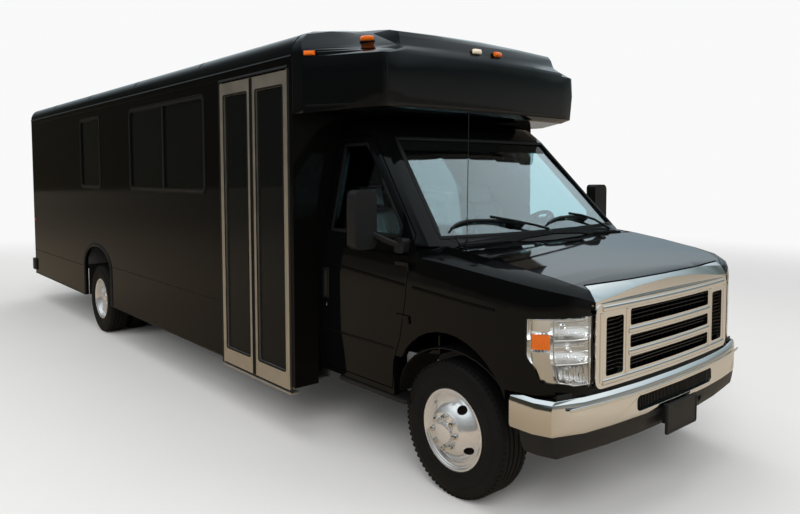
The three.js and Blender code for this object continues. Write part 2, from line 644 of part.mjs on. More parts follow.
// The roof's gentle crown, from its shoulder to the middle line.
function crownOf([x, z], inset) {
  const top = GUTTER_Z + ROOF_RADIUS + ROOF_CROWN - inset;
  return [0.66, 0.33, 0].map((s) => [x * s, z + (top - z) * (1 - s * s)]);
}

function coachSection(inset, bottom) {
  const arc = Array.from({ length: 6 }, (_, i) => {
    const a = (i / 5) * SHOULDER_ANGLE;
    return [
      COACH_HALF - ROOF_RADIUS + (ROOF_RADIUS - inset) * Math.cos(a),
      GUTTER_Z + (ROOF_RADIUS - inset) * Math.sin(a),
    ];
  });
  return mirrored([[0, bottom], [COACH_HALF - inset, bottom], ...arc, ...crownOf(arc.at(-1), inset)]);
}

function rearArchTool(grow = 0) {
  const { half, spring, top } = REAR_ARCH;
  const shape = new THREE.Shape();
  shape.moveTo(WHEELBASE + half + grow, 0);
  shape.lineTo(WHEELBASE + half + grow, spring);
  shape.absellipse(WHEELBASE, spring, half + grow, top - spring + grow, 0, Math.PI);
  shape.lineTo(WHEELBASE - half - grow, 0);
  return extrude(shape, "x", -COACH_HALF - 210, COACH_HALF + 210, 12);
}

// From outside the right wall to well inside it, which the cuts through that wall span.
const WALL_CUT = [-COACH_HALF - 110, -COACH_HALF + 190];

function windowTool([front, rear], by) {
  const shape = roundedBox(front + by, rear - by, WINDOW_BOTTOM + by, WINDOW_TOP - by, WINDOW_CORNER - by);
  return extrude(shape, "x", ...WALL_CUT, 2);
}

function buildCoach() {
  const wall = block(-COACH_HALF, -COACH_HALF + WALL, COACH_FRONT, COACH_REAR, COACH_SKIRT, GUTTER_Z - FIT);
  const { gap } = ENTRY;
  const entryHole = block(...WALL_CUT, ENTRY.front - gap, ENTRY.rear + gap, 0, ENTRY.top + gap);
  const plainWall = cut(wall, rearArchTool(), windowTool(REAR_WINDOW, 0), windowTool(SLIDER_WINDOW, 0));
  add("coach_wall_right", cut(plainWall, entryHole), BLACK_PAINT);
  add("coach_wall_left", mirrorX(plainWall), BLACK_PAINT);
  addPair("window_rear", windowUnit(REAR_WINDOW, []), DARK_GLASS);
  const [front, rear] = SLIDER_WINDOW;
  addPair("window_slider", windowUnit(SLIDER_WINDOW, [(front + rear) / 2]), DARK_GLASS);

  const roofShell = extrude(outline(coachSection(0, GUTTER_Z)), "y", COACH_FRONT, COACH_REAR)
    .subtract(extrude(outline(coachSection(WALL, GUTTER_Z - 5)), "y", COACH_FRONT - 5, COACH_REAR + 5));
  add("coach_roof", roofShell, BLACK_PAINT);

  const inner = (y0, y1, bottom) => extrude(outline(coachSection(WALL + FIT, bottom)), "y", y0, y1);
  const doorHole = (by) =>
    block(-REAR_DOOR.half + by, REAR_DOOR.half - by, COACH_REAR - 200, COACH_REAR + 50,
      REAR_DOOR.bottom + by, REAR_DOOR.top - by);
  const rearWall = cut(inner(COACH_REAR - WALL, COACH_REAR, COACH_SKIRT), doorHole(0));
  const [wallLeaves, doorLeaves] = rearHinges();
  add("rear_wall", rearWall.add(wallLeaves), BLACK_PAINT);
  const { half, low, high } = REAR_GLASS;
  const doorWindow = (by) => extrude(roundedBox(-half + by, half - by, low + by, high - by, 50), "y",
    COACH_REAR - 100, COACH_REAR + 50, 2);
  const rearDoor = doorHole(SHUT).intersect(block(-600, 600, COACH_REAR - WALL + 2, COACH_REAR, 0, 3000));
  add("rear_door", cut(rearDoor, doorWindow(0)).add(doorLeaves), BLACK_PAINT);
  const pane = block(-600, 600, COACH_REAR - 20, COACH_REAR - 14, 0, 3000);
  add("rear_door_glass", doorWindow(FIT).intersect(pane), DARK_GLASS);

  const bulkhead = cut(
    inner(COACH_FRONT, COACH_FRONT + WALL, COACH_SKIRT),
    cabForm(-FIT),
    block(-960, 960, COACH_FRONT - 10, COACH_FRONT + 60, 0, CAB_FLOOR + CAB_FLOOR_THICK),
    block(-CAB_HALF, CAB_HALF, COACH_FRONT - 10, COACH_FRONT + 60, 0, RAIL_BOTTOM + RAIL_HEIGHT + 20));
  add("coach_front_wall", bulkhead, BLACK_PAINT);
  buildFloor();
  buildEntryDoor();
  buildCap();
  buildRearBumper();
  buildBenches();
}

// Three strap hinges on the rear door's right edge: the wall's leaves and the door's.
const REAR_HINGE = { radius: 8, heights: [960, 1540, 2140], height: 60 };

function rearHinges() {
  const { radius, heights, height } = REAR_HINGE;
  const [x, y] = [-REAR_DOOR.half, COACH_REAR + radius + 1];
  const half = height / 2 - 0.5;
  const on = (z, x0, x1) => union(
    disc("z", [x, y, 0], radius, z, z + half, 12),
    block(x0, x1, COACH_REAR - 1, COACH_REAR + 7, z, z + half));
  return [
    union(heights.map((z) => on(z, x - 60, x - 1))),
    union(heights.map((z) => on(z + height / 2, x + SHUT + 1, x + 90).add(
      block(x, x + SHUT + 2, COACH_REAR + 3, COACH_REAR + 7, z + height / 2, z + height / 2 + half)))),
  ];
}

// A window unit: a frame round the opening, with mullions, holding a dark pane.
function windowUnit([front, rear], mullions) {
  const layer = (out, inwards) => block(-COACH_HALF + out, -COACH_HALF + inwards, 0, REAR_END, 0, 3000);
  const outer = windowTool([front, rear], FIT).intersect(layer(-3, WALL - 6));
  const recess = cut(windowTool([front, rear], WINDOW_FRAME),
    mullions.map((y) => block(...WALL_CUT, y - 18, y + 18, 0, 3000)));
  const dish = recess.intersect(layer(-100, 12));
  const back = windowTool([front, rear], WINDOW_FRAME).intersect(layer(20, 190));
  return cut(outer, dish, back);
}

const STEP = { z: [372, 566], x: [-900, -640] };

function buildFloor() {
  const side = COACH_HALF - WALL - FIT;
  const front = CAB_BACK + FIT;
  const slab = block(-side, side, front, COACH_REAR - WALL - FIT, FLOOR_TOP - FLOOR_THICK, FLOOR_TOP);
  const well = block(-side - 5, STEP.x[1], front - 10, ENTRY.rear + 40, 0, FLOOR_TOP + 10);
  const houses = [-1, 1].map((sign) => wheelhouse(sign, 0));
  const houseHoles = [-1, 1].map((sign) => wheelhouse(sign, SHEET));
  const steps = extrude(
    outline([[-side, STEP.z[0] - 12], [STEP.x[0] + 12, STEP.z[0] - 12], [STEP.x[0] + 12, STEP.z[1] - 12],
      [STEP.x[1] + 12, STEP.z[1] - 12], [STEP.x[1] + 12, FLOOR_TOP], [STEP.x[1], FLOOR_TOP],
      [STEP.x[1], STEP.z[1]], [STEP.x[0], STEP.z[1]], [STEP.x[0], STEP.z[0]], [-side, STEP.z[0]]]),
    "y", COACH_FRONT + WALL + FIT, ENTRY.rear + 40);
  const wellRear = block(-side, STEP.x[1] + 12, ENTRY.rear + 39, ENTRY.rear + 52, STEP.z[0] - 12, FLOOR_TOP);
  const floor = union(cut(slab, well), steps, wellRear, houses);
  add("coach_floor", cut(floor, houseHoles, cabForm(-FIT)), TRIM_GREY);
}

function wheelhouse(sign, inset) {
  const [inner, outer] = [WHEELHOUSE_INSIDE + inset, COACH_HALF - WALL - FIT + (inset ? 10 : 0)];
  return eitherWay(sign * inner, sign * outer,
    WHEELBASE - REAR_ARCH.half + inset, WHEELBASE + REAR_ARCH.half - inset,
    FLOOR_TOP - FLOOR_THICK - (inset ? 10 : 0), WHEELHOUSE_TOP - inset);
}

// Two leaves of aluminium frame round a tall pane, hinged at the outer jambs.
const LEAF_MIDDLE = (ENTRY.front + ENTRY.rear) / 2;
const LEAVES = [
  ["front", ENTRY.front, LEAF_MIDDLE - LEAF_GAP / 2],
  ["rear", LEAF_MIDDLE + LEAF_GAP / 2, ENTRY.rear],
];

function buildEntryDoor() {
  const [outside, inside] = [-COACH_HALF - LEAF_PROUD, -COACH_HALF - LEAF_PROUD + LEAF_THICK];
  for (const [name, y0, y1] of LEAVES) {
    const pane = (by) =>
      block(outside - 5, inside + 5, y0 + LEAF_STILE + by, y1 - LEAF_STILE - by,
        ENTRY.bottom + LEAF_RAIL.bottom + by, ENTRY.top - LEAF_RAIL.top - by);
    const pivotY = name === "front" ? y0 + LEAF_PIVOT.inset : y1 - LEAF_PIVOT.inset;
    const pinTop = ENTRY.top + ENTRY.gap - FIT;
    const pin = disc("z", [-LEAF_PIVOT.x, pivotY, 0], LEAF_PIVOT.radius, ENTRY.top - 5, pinTop, 12);
    const frame = cut(block(outside, inside, y0, y1, ENTRY.bottom, ENTRY.top), pane(0));
    add(`entry_leaf_${name}`, frame.add(pin), ALUMINIUM);
    const glass = pane(FIT).intersect(block(outside + 14, outside + 20, y0, y1, 0, 3000));
    add(`entry_glass_${name}`, glass, DARK_GLASS);
  }
}

// ---------------------------------------------------------------- front cap
// Plans of the cap, one for each height. Columns: z, y of the middle, x and y of the raised
// middle's corner, x and y of that corner's foot, x and y of the outer ridge, y where the side
// reaches the coach's full width.
const CAP_STATIONS = [
  [2124, 584, 715, 620, 810, 630, 880, 692, 1080],
  [2150, 550, 765, 584, 874, 596, 940, 648, 1080],
  [2330, 544, 768, 576, 885, 589, 958, 644, 1080],
  [2467, 547, 768, 579, 882, 592, 952, 650, 1080],
  [2495, 553, 762, 590, 845, 624, 925, 735, 1082],
  [2512, 560, 760, 616, 804, 650, 920, 806, 1086],
  [2530, 566, 760, 644, 774, 670, 925, 870, 1092],
  [2548, 573, 758, 653, 766, 698, 934, 912, 1100],
  [2590, 594, 752, 666, 758, 796, 952, 980, 1112],
  [2622, 634, 744, 686, 752, 878, 974, 1030, 1124],
  [2646, 700, 736, 780, 744, 936, 988, 1056, 1134],
  [2672, 806, 700, 930, 764, 1040, 866, 1096, 1150],
  [2694, 950, 500, 1068, 560, 1106, 640, 1132, 1166],
  [2708, 1110, 200, 1150, 240, 1164, 280, 1174, 1184],
];
const CAP_SKIN = 30;

// Half width of the coach's outside at a height, from its wall, its roof radius or its crown.
function coachHalfAt(z) {
  const edge = COACH_HALF - ROOF_RADIUS + ROOF_RADIUS * Math.cos(SHOULDER_ANGLE);
  const low = GUTTER_Z + ROOF_RADIUS * Math.sin(SHOULDER_ANGLE);
  const top = GUTTER_Z + ROOF_RADIUS + ROOF_CROWN;
  if (z <= GUTTER_Z) return COACH_HALF;
  if (z <= low) return COACH_HALF - ROOF_RADIUS + Math.sqrt(ROOF_RADIUS ** 2 - (z - GUTTER_Z) ** 2);
  return edge * Math.sqrt((top - z) / (top - low));
}

function capForm(inset) {
  const back = COACH_FRONT - FIT + (inset > 0 ? 60 : 0);
  const sections = CAP_STATIONS.map(([z, midY, edgeX, edgeY, footX, footY, ridgeX, ridgeY, sideY]) => {
    const rounding = z < GUTTER_Z ? [0.72, 0.3] : [0.5, 0.5];
    const half = [
      [0, midY],
      [0.55 * edgeX, midY + 0.3 * (edgeY - midY)],
      [edgeX, edgeY],
      [footX, footY],
      [footX + rounding[0] * (ridgeX - footX), footY + rounding[1] * (ridgeY - footY)],
      [ridgeX, ridgeY],
      [coachHalfAt(z) - 1, sideY],
    ].map(([x, y], i) => [i > 0 ? x - inset : x, y + inset]);
    const wide = coachHalfAt(z) - 1 - inset;
    const above = z > GUTTER_Z - 10;
    const level = z + (z < 2200 ? inset : 0) - (above ? inset : 0);
    return { at: level, outline: mirrored([...half, [wide, back], [0, back]]) };
  });
  return loft("z", sections);
}

function buildCap() {
  add("front_cap", cut(capForm(0), capForm(CAP_SKIN), cabForm(-FIT)), BLACK_PAINT);
}

// ---------------------------------------------------------------- rear bumper and benches
function buildRearBumper() {
  const half = COACH_HALF - 30;
  const bar = cut(
    block(-half, half, COACH_REAR + FIT, REAR_END, 400, 560),
    block(-half + 12, half - 12, COACH_REAR - 10, REAR_END - 12, 412, 548));
  const brackets = [-1, 1].map((sign) =>
    block(sign * 380 - 30, sign * 380 + 30, COACH_REAR + FIT, REAR_END - 6, 405, 555));
  add("rear_bumper", union(bar, brackets), BLACK_PLASTIC);
}

// Long seats down both sides, each on a plinth that is cut away over the wheelhouse.
function buildBenches() {
  const back = COACH_HALF - WALL - 20;
  const { seat, height, depth, cushion, rest, top } = BENCH;
  for (const [side, sign, front] of [["right", -1, ENTRY.rear + 120], ["left", 1, CAB_BACK + 160]]) {
    const nose = back - depth;
    const profile = [
      [nose, seat - cushion], [nose + 40, seat - cushion], [nose + 40, FLOOR_TOP + FIT],
      [back, FLOOR_TOP + FIT], [back, top], [back - rest + 20, top], [back - rest, height], [nose, height],
    ].map(([x, z]) => [sign * x, z]);
    const form = extrude(outline(profile), "y", front, COACH_REAR - 260);
    add(`bench_${side}`, cut(form, wheelhouse(sign, -FIT)), SEAT_VINYL);
  }
}

// ---------------------------------------------------------------- chassis
const FRONT_DISH = 36;
const REAR_DISH = 120;
const INNER_DISH = 40;
const HUB_DEPTH = 40;
const RIM_INSET = (TYRE_WIDTH - RIM_WIDTH) / 2;
const HUB_INSIDE = -FRONT_WHEEL_FACE + RIM_INSET + FRONT_DISH + HUB_DEPTH;
const REAR_HUB_INSIDE = -REAR_WHEEL_FACE + DUAL_SPACING + RIM_INSET + INNER_DISH + HUB_DEPTH;
const RAIL_TOP = RAIL_BOTTOM + RAIL_HEIGHT;
const CROSSMEMBERS = [RAIL_FRONT + 60, 1300, 2400, 3500, 4450, WHEELBASE + 620, 7000];

function buildChassis() {
  const railEnd = COACH_REAR - RAIL_REAR_MARGIN;
  const web = RAIL_OUTER - RAIL_WEB;
  const rail = cut(
    block(-RAIL_OUTER, -RAIL_OUTER + RAIL_FLANGE, RAIL_FRONT, railEnd, RAIL_BOTTOM, RAIL_TOP),
    block(-web, 0, RAIL_FRONT - 5, railEnd + 5, RAIL_BOTTOM + RAIL_WEB, RAIL_TOP - RAIL_WEB));
  const bars = CROSSMEMBERS.map((y) =>
    block(-web - 1, web + 1, y - 35, y + 35, RAIL_TOP - 90, RAIL_TOP - RAIL_WEB + 1));
  const hangers = [-1, 1].flatMap((sign) =>
    [-SPRING.half - 20, SPRING.half + 20].map((dy) =>
      eitherWay(sign * (RAIL_OUTER - 1), sign * (SPRING.x + 40),
        WHEELBASE + dy - 25, WHEELBASE + dy + 25, SPRING.eye + 25 + FIT, RAIL_BOTTOM + 120)));
  const hornZone = extrude(bumperPlan(BUMPER.wall + FIT), "z", 0, 1000);
  const horns = [-1, 1].map((sign) =>
    block(sign * 400 - 26, sign * 400 + 26, BUMPER.front, RAIL_FRONT + 1, 560, 660).intersect(hornZone));
  add("chassis_frame", union(rail, mirrorX(rail), bars, hangers, horns, radiatorSupport()), FRAME_STEEL);

  const engine = block(-300, 300, -420, 300, RAIL_BOTTOM + 20, 1000);
  const sump = block(-200, 200, -60, 300, 470, RAIL_BOTTOM + 30);
  const gearbox = block(-150, 150, 299, 1180, 430, 660);
  add("engine_block", union(engine, sump, gearbox), CAST_STEEL);

  add("fuel_tank", fuelTank(), FRAME_STEEL);
  add("exhaust", exhaust(), CAST_STEEL);
  add("rear_axle", rearAxle(), CAST_STEEL);
  add("front_axle", frontAxle(), CAST_STEEL);
}

// The radiator and the panel that carries it, the grille and the bonnet's latch.
function radiatorSupport() {
  const { half, bottom, top, depth } = GRILLE;
  const front = NOSE_Y - 12 + depth + FIT;
  const panel = cut(
    block(-half + 20, half - 20, front, front + 24, bottom + 10, top - 12),
    block(-half + 90, half - 90, front - 5, front + 30, bottom + 70, top - 70));
  const core = block(-half + 80, half - 80, front + 14, front + 50, bottom + 60, top - 60);
  const feet = [-400, 400].map((x) => block(x - 24, x + 24, front, RAIL_FRONT + 30, 640, bottom + 20));
  return union(panel, core, feet);
}

function fuelTank() {
  const shape = roundedBox(-RAIL_OUTER + 10, RAIL_OUTER - 10, 330, RAIL_BOTTOM - FIT, 30);
  return extrude(shape, "y", WHEELBASE + 870, WHEELBASE + 1620, 3);
}

const SPRING = { x: 520, half: 640, eye: 455 };

function exhaust() {
  const y = WHEELBASE;
  const pipe = tube([[255, 1182, 470], [255, 1500, 462], [255, 3600, 462], [255, y - 500, 480],
    [255, y - 250, 590], [255, y + 250, 590], [255, y + 520, 480], [420, y + 750, 440], [800, y + 780, 440],
    [1120, y + 786, 440]], 34, 6);
  const muffler = extrude(roundedBox(255 - 120, 255 + 120, 392, 532, 68), "y", 2700, 3350, 3);
  const hangers = [3500, 4450].map((at) => block(243, 267, at - 12, at + 12, 470, RAIL_TOP - 90 - FIT));
  const tailHanger = block(404, 428, y + 730, y + 754, 450, RAIL_BOTTOM - FIT);
  return union(pipe, muffler, hangers, tailHanger);
}

// Axle tube, differential, springs with their U-bolt plates, and the shaft from the gearbox.
function rearAxle() {
  const y = WHEELBASE;
  const z = TYRE_RADIUS;
  const beam = disc("x", [0, y, z], 48, REAR_HUB_INSIDE + FIT, -REAR_HUB_INSIDE - FIT, 16);
  const diff = new THREE.SphereGeometry(178, 12, 8);
  const housing = solidOf(diff.scale(0.85, 0.9, 1).translate(0, y, z));
  const pinion = disc("y", [0, 0, z], 60, y - 320, y - 100, 12);
  const shaft = loftShaft([0, 1181, 500], [0, y - 310, z], 44);
  const springs = [-1, 1].flatMap((sign) => {
    const leaf = extrude(leafOutline(y), "x", sign * SPRING.x - 32, sign * SPRING.x + 32, 8);
    return [leaf, block(sign * SPRING.x - 50, sign * SPRING.x + 50, y - 90, y + 90, z - 62, z + 60)];
  });
  return union(beam, housing, pinion, shaft, springs);
}

function loftShaft(from, to, radius) {
  const circle = Array.from({ length: 12 }, (_, i) => (i * Math.PI) / 6)
    .map((angle) => [Math.cos(angle) * radius, Math.sin(angle) * radius]);
  const section = ([x, y, z]) => ({ at: y, outline: circle.map(([dx, dz]) => [x + dx, z + dz]) });
  return loft("y", [section(from), section(to)]);
}

function leafOutline(y) {
  const { half, eye } = SPRING;
  const low = TYRE_RADIUS + 50;
  const under = [[-half - 40, eye - 25], [-half, eye - 25], [-300, low + 6], [0, low - 4], [300, low + 6],
    [half, eye - 25], [half + 40, eye - 25]];
  const over = [[half + 40, eye + 25], [half - 20, eye + 20], [300, low + 44], [0, low + 56],
    [-300, low + 44], [20 - half, eye + 20], [-half - 40, eye + 25]];
  return outline([...under, ...over].map(([dy, z]) => [y + dy, z]));
}

// Twin beams that cross under the engine, each with an eye for its kingpin, hung from the frame.
function frontAxle() {
  const { radius, low, high } = BEAM_EYE;
  const middle = (low + high) / 2;
  const beam = (sign) => {
    const y = sign * 42;
    const path = [[60 - KINGPIN_X, middle], [-560, 300], [-200, 330], [330, 470]]
      .map(([x, z]) => [sign * x, z]);
    const lower = path.map(([x, z]) => [x, z - 32]);
    const upper = [...path].reverse().map(([x, z]) => [x, z + 32]);
    return extrude(outline([...lower, ...upper]), "y", y - 30, y + 30);
  };
  const eyes = [-1, 1].map((sign) => {
    const [inner, outer] = [sign * (KINGPIN_X - 66), sign * KINGPIN_X];
    const neck = eitherWay(inner, outer, -20, 20, low, high);
    const shoe = eitherWay(inner, inner + sign * 20, -72, 72, low, high);
    return union(disc("z", [sign * KINGPIN_X, 0, 0], radius, low, high, 12), neck, shoe);
  });
  const hanger = [-1, 1].map((sign) =>
    block(sign * 330 - 34, sign * 330 + 34, -76, 76, 440, RAIL_BOTTOM - FIT).add(
      eitherWay(sign * 300, sign * 420, -60, 60, RAIL_BOTTOM - 20, RAIL_BOTTOM - FIT)));
  const bore = (KINGPIN_RADIUS + 0.4) / Math.cos(Math.PI / 12); // a turned pin's corners clear its flats
  const pins = [-1, 1].map((sign) => disc("z", [sign * KINGPIN_X, 0, 0], bore, low - 5, high + 5, 12));
  return cut(union(beam(1), beam(-1), block(-200, 200, -20, 20, 300, 360), eyes, hanger), pins);
}

// ---------------------------------------------------------------- wheels
// Half section of a tyre as [radius, offset], and of its rim with the dished disc.
function tyre(face, y, sign) {
  const bead = RIM_RADIUS + FIT;
  const w = TYRE_WIDTH;
  const seat = RIM_INSET - BEAD.proud;
  const tread = TYRE_RADIUS / Math.cos(Math.PI / WHEEL_FACETS); // so that the flats touch the ground
  const cavity = TYRE_RADIUS - TYRE_WALL;
  const profile = [
    [bead, seat], [bead + 70, 0], [tread - 22, 12], [tread, 40], [tread, w - 40], [tread - 22, w - 12],
    [bead + 70, w], [bead, w - seat], [bead, w - seat - BEAD.width], [cavity, w - 50], [cavity, 50],
    [bead, seat + BEAD.width], [bead, seat],
  ];
  const solid = revolve(profile, "x", [0, y, TYRE_RADIUS], WHEEL_FACETS, Math.PI / WHEEL_FACETS);
  return sign < 0 ? solid.translate([-face, 0, 0]) : mirrorX(solid.translate([-face, 0, 0]));
}

// `dish` is how far the disc stands in from the outer flange. The disc has oval hand holes and
// a domed hub.
const HAND_HOLES = { count: 4, at: 158, half: [30, 15] };

function rimSolid(face, y, sign, dish, holeCount, extra = []) {
  const [r, inset] = [RIM_RADIUS, RIM_INSET];
  const [inner, disc0] = [r - RIM_WALL - 18, inset + dish];
  const barrel = [
    [r, inset], [r, inset + 12], [r - 16, inset + 20], [r - 16, inset + RIM_WIDTH - 20],
    [r, inset + RIM_WIDTH - 12], [r, inset + RIM_WIDTH], [inner, inset + RIM_WIDTH], [inner, disc0 + 14],
    [86, disc0 + 14], [86, disc0 + HUB_DEPTH], [0, disc0 + HUB_DEPTH], [0, disc0 - 46], [62, disc0 - 44],
    [86, disc0 - 8], [inner, disc0 - 4], [r - RIM_WALL, inset], [r, inset],
  ];
  const holes = Array.from({ length: holeCount }, (_, i) => {
    const angle = ((i + 0.5) * 360) / holeCount;
    const [along, across] = HAND_HOLES.half;
    const oval = new THREE.Shape().absellipse(HAND_HOLES.at, 0, across, along, 0, 2 * Math.PI);
    return extrude(oval, "x", disc0 - 30, disc0 + 40, 6).rotate([angle, 0, 0]).translate([0, y, TYRE_RADIUS]);
  });
  const solid = cut(revolve(barrel, "x", [0, y, TYRE_RADIUS], WHEEL_FACETS, Math.PI / WHEEL_FACETS), holes);
  const placed = union(solid.translate([-face, 0, 0]), ...extra);
  return sign < 0 ? placed : mirrorX(placed);
}

function buildWheels() {
  for (const [side, sign] of SIDES) {
    add(`front_tyre_${side}`, tyre(FRONT_WHEEL_FACE, 0, sign), RUBBER);
    add(`front_rim_${side}`, rimSolid(FRONT_WHEEL_FACE, 0, sign, FRONT_DISH, HAND_HOLES.count), CHROME);
    const innerFace = REAR_WHEEL_FACE - DUAL_SPACING;
    add(`rear_tyre_outer_${side}`, tyre(REAR_WHEEL_FACE, WHEELBASE, sign), RUBBER);
    add(`rear_tyre_inner_${side}`, tyre(innerFace, WHEELBASE, sign), RUBBER);
    const hub = [-REAR_WHEEL_FACE, WHEELBASE, TYRE_RADIUS];
    const spacer = disc("x", hub, 110, 150, DUAL_SPACING + 60, WHEEL_FACETS);
    const inner = rimSolid(innerFace, WHEELBASE, -1, INNER_DISH, 0);
    add(`rear_rim_${side}`, rimSolid(REAR_WHEEL_FACE, WHEELBASE, sign, REAR_DISH, HAND_HOLES.count,
      [inner, spacer]), CHROME);
  }
}

// Steering knuckles with their arms, and the rod that ties them.
function buildSteering() {
  const { radius, low, high } = BEAM_EYE;
  const pin = disc("z", [-KINGPIN_X, 0, 0], KINGPIN_RADIUS, low - 30, high + 30, 12);
  const ears = [[low - 38, low - 5], [high + 5, high + 38]].map(([z0, z1]) =>
    block(-KINGPIN_X - radius - 20, -KINGPIN_X + 26, -32, 32, z0, z1));
  const plate = block(-KINGPIN_X - radius - 30, -KINGPIN_X - radius - 5, -46, 46, low - 38, high + 38);
  const spindle = disc("x", [0, 0, TYRE_RADIUS], 30, HUB_INSIDE + FIT, -KINGPIN_X - radius - 20, 14);
  const arm = block(-KINGPIN_X - 16, -KINGPIN_X + 16, 30, STEER_ARM + 18, TIE_ROD_Z + 14, low - 10);
  addPair("knuckle", union(pin, ears, plate, spindle, arm), CAST_STEEL);
  const rod = disc("x", [0, STEER_ARM, TIE_ROD_Z], 13, -KINGPIN_X + 14, KINGPIN_X - 14, 10);
  const ends = [-1, 1].map((sign) =>
    disc("z", [sign * KINGPIN_X, STEER_ARM, 0], 18, TIE_ROD_Z - 18, TIE_ROD_Z + 14 - FIT, 12));
  add("tie_rod", union(rod, ends), CAST_STEEL);
}

buildCoach();
buildCab();
buildChassis();
buildSteering();
buildWheels();

export default bus;
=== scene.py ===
"""The visual model of a black party bus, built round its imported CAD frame."""

from __future__ import annotations

import json
import logging
import math
from dataclasses import dataclass, field, replace
from enum import Enum
from typing import Callable, Sequence

import bmesh
import bpy
from mathutils import Matrix, Vector
from mathutils.bvhtree import BVHTree

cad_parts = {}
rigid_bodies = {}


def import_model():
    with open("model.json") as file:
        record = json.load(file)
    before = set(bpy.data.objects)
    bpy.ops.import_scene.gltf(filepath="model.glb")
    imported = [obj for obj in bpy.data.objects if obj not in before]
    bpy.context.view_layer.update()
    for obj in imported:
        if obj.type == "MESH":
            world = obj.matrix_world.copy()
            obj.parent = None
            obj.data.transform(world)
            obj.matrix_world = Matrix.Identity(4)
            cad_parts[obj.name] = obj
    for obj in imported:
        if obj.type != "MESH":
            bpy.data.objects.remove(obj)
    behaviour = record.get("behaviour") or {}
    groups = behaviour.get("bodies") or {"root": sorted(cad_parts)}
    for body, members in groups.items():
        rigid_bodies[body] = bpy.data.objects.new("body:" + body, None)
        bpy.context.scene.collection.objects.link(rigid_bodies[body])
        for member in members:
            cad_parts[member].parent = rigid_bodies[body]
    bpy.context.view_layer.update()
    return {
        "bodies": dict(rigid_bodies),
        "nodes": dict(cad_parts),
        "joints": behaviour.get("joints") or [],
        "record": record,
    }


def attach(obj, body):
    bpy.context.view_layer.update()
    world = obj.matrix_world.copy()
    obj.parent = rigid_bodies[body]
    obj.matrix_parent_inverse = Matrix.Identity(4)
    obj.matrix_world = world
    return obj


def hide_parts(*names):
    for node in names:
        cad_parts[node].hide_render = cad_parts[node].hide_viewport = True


LOG = logging.getLogger("party_bus")
ROAD_DUST = (0.16, 0.13, 0.1)  # its colour
FRONT_AXLE_Y = -3.72  # the front axle's place along the bus, in metres
SIDES = {"right": -1.0, "left": 1.0}
# places clear of the bus, from which lines run to its skin, in mm
AHEAD, BEHIND, BESIDE, ABOVE, OVER_HOOD = -3000, 9000, 1600, 2800, 1700
Point = Sequence[float]
Ring = list[Vector]
Lane = Sequence[tuple[Vector, Vector]]  # places on a surface, each with the normal there
Nodes = dict[str, bpy.types.Object]
Socket = bpy.types.NodeSocket


def spot(x: float, y: float, z: float) -> Vector:
    """The point, in metres, x mm to the left, y mm behind the front axle and z mm above the ground."""
    return Vector((x / 1000, y / 1000 + FRONT_AXLE_Y, z / 1000))


def circle(steps: int) -> list[tuple[float, float]]:
    """Points round a circle of radius one, as pairs of cosine and sine."""
    return [(math.cos(a), math.sin(a)) for a in (2 * math.pi * k / steps for k in range(steps))]


# ---------------------------------------------------------------- node trees
class Graph:
    """A node tree under construction."""

    def __init__(self, tree: bpy.types.NodeTree) -> None:
        """Takes on a tree."""
        self.tree = tree

    def feed(self, socket: Socket, value: object) -> None:
        """Links a socket to another one, or gives it a plain value.

        Args:
            socket: the input socket.
            value: a socket to link from, or a plain value.
        """
        if isinstance(value, bpy.types.NodeSocket):
            self.tree.links.new(value, socket)
        else:
            socket.default_value = value

    def add(self, kind: str, inputs: dict[str | int, object] | None = None,
            **settings: object) -> bpy.types.Node:
        """Adds a node.

        Args:
            kind: the node's type.
            inputs: the socket or plain value that each of its inputs takes.
            settings: the node's own settings.

        Returns:
            The node.
        """
        node = self.tree.nodes.new(kind)
        for key, value in settings.items():
            setattr(node, key, value)
        for key, value in (inputs or {}).items():
            self.feed(node.inputs[key], value)
        return node

    def math(self, operation: str, first: Socket | float, second: Socket | float) -> Socket:
        """Two values put together by a Math node."""
        return self.add("ShaderNodeMath", {0: first, 1: second}, operation=operation).outputs[0]

    def mix(self, share: Socket, first: Socket | Point, second: Socket | Point) -> Socket:
        """Two colours mixed; a plain colour is red, green and blue."""
        ends = [c if isinstance(c, bpy.types.NodeSocket) else (*c, 1) for c in (first, second)]
        return self.add("ShaderNodeMix", {0: share, 6: ends[0], 7: ends[1]}, data_type="RGBA").outputs[2]

    def ranged(self, value: Socket, source: Point, target: Point = (0.0, 1.0), **settings: object) -> Socket:
        """A value taken from the source's range to the target's."""
        ends = {"From Min": source[0], "From Max": source[1], "To Min": target[0], "To Max": target[1]}
        return self.add("ShaderNodeMapRange", {"Value": value, **ends}, **settings).outputs["Result"]


# ---------------------------------------------------------------- finishes
class Grain(Enum):
    """The fine structure that a finish shows in its bump and roughness."""

    PEEL = "peel"
    CAST = "cast"
    LEATHER = "leather"
    BRUSHED = "brushed"
    RIBBED = "ribbed"


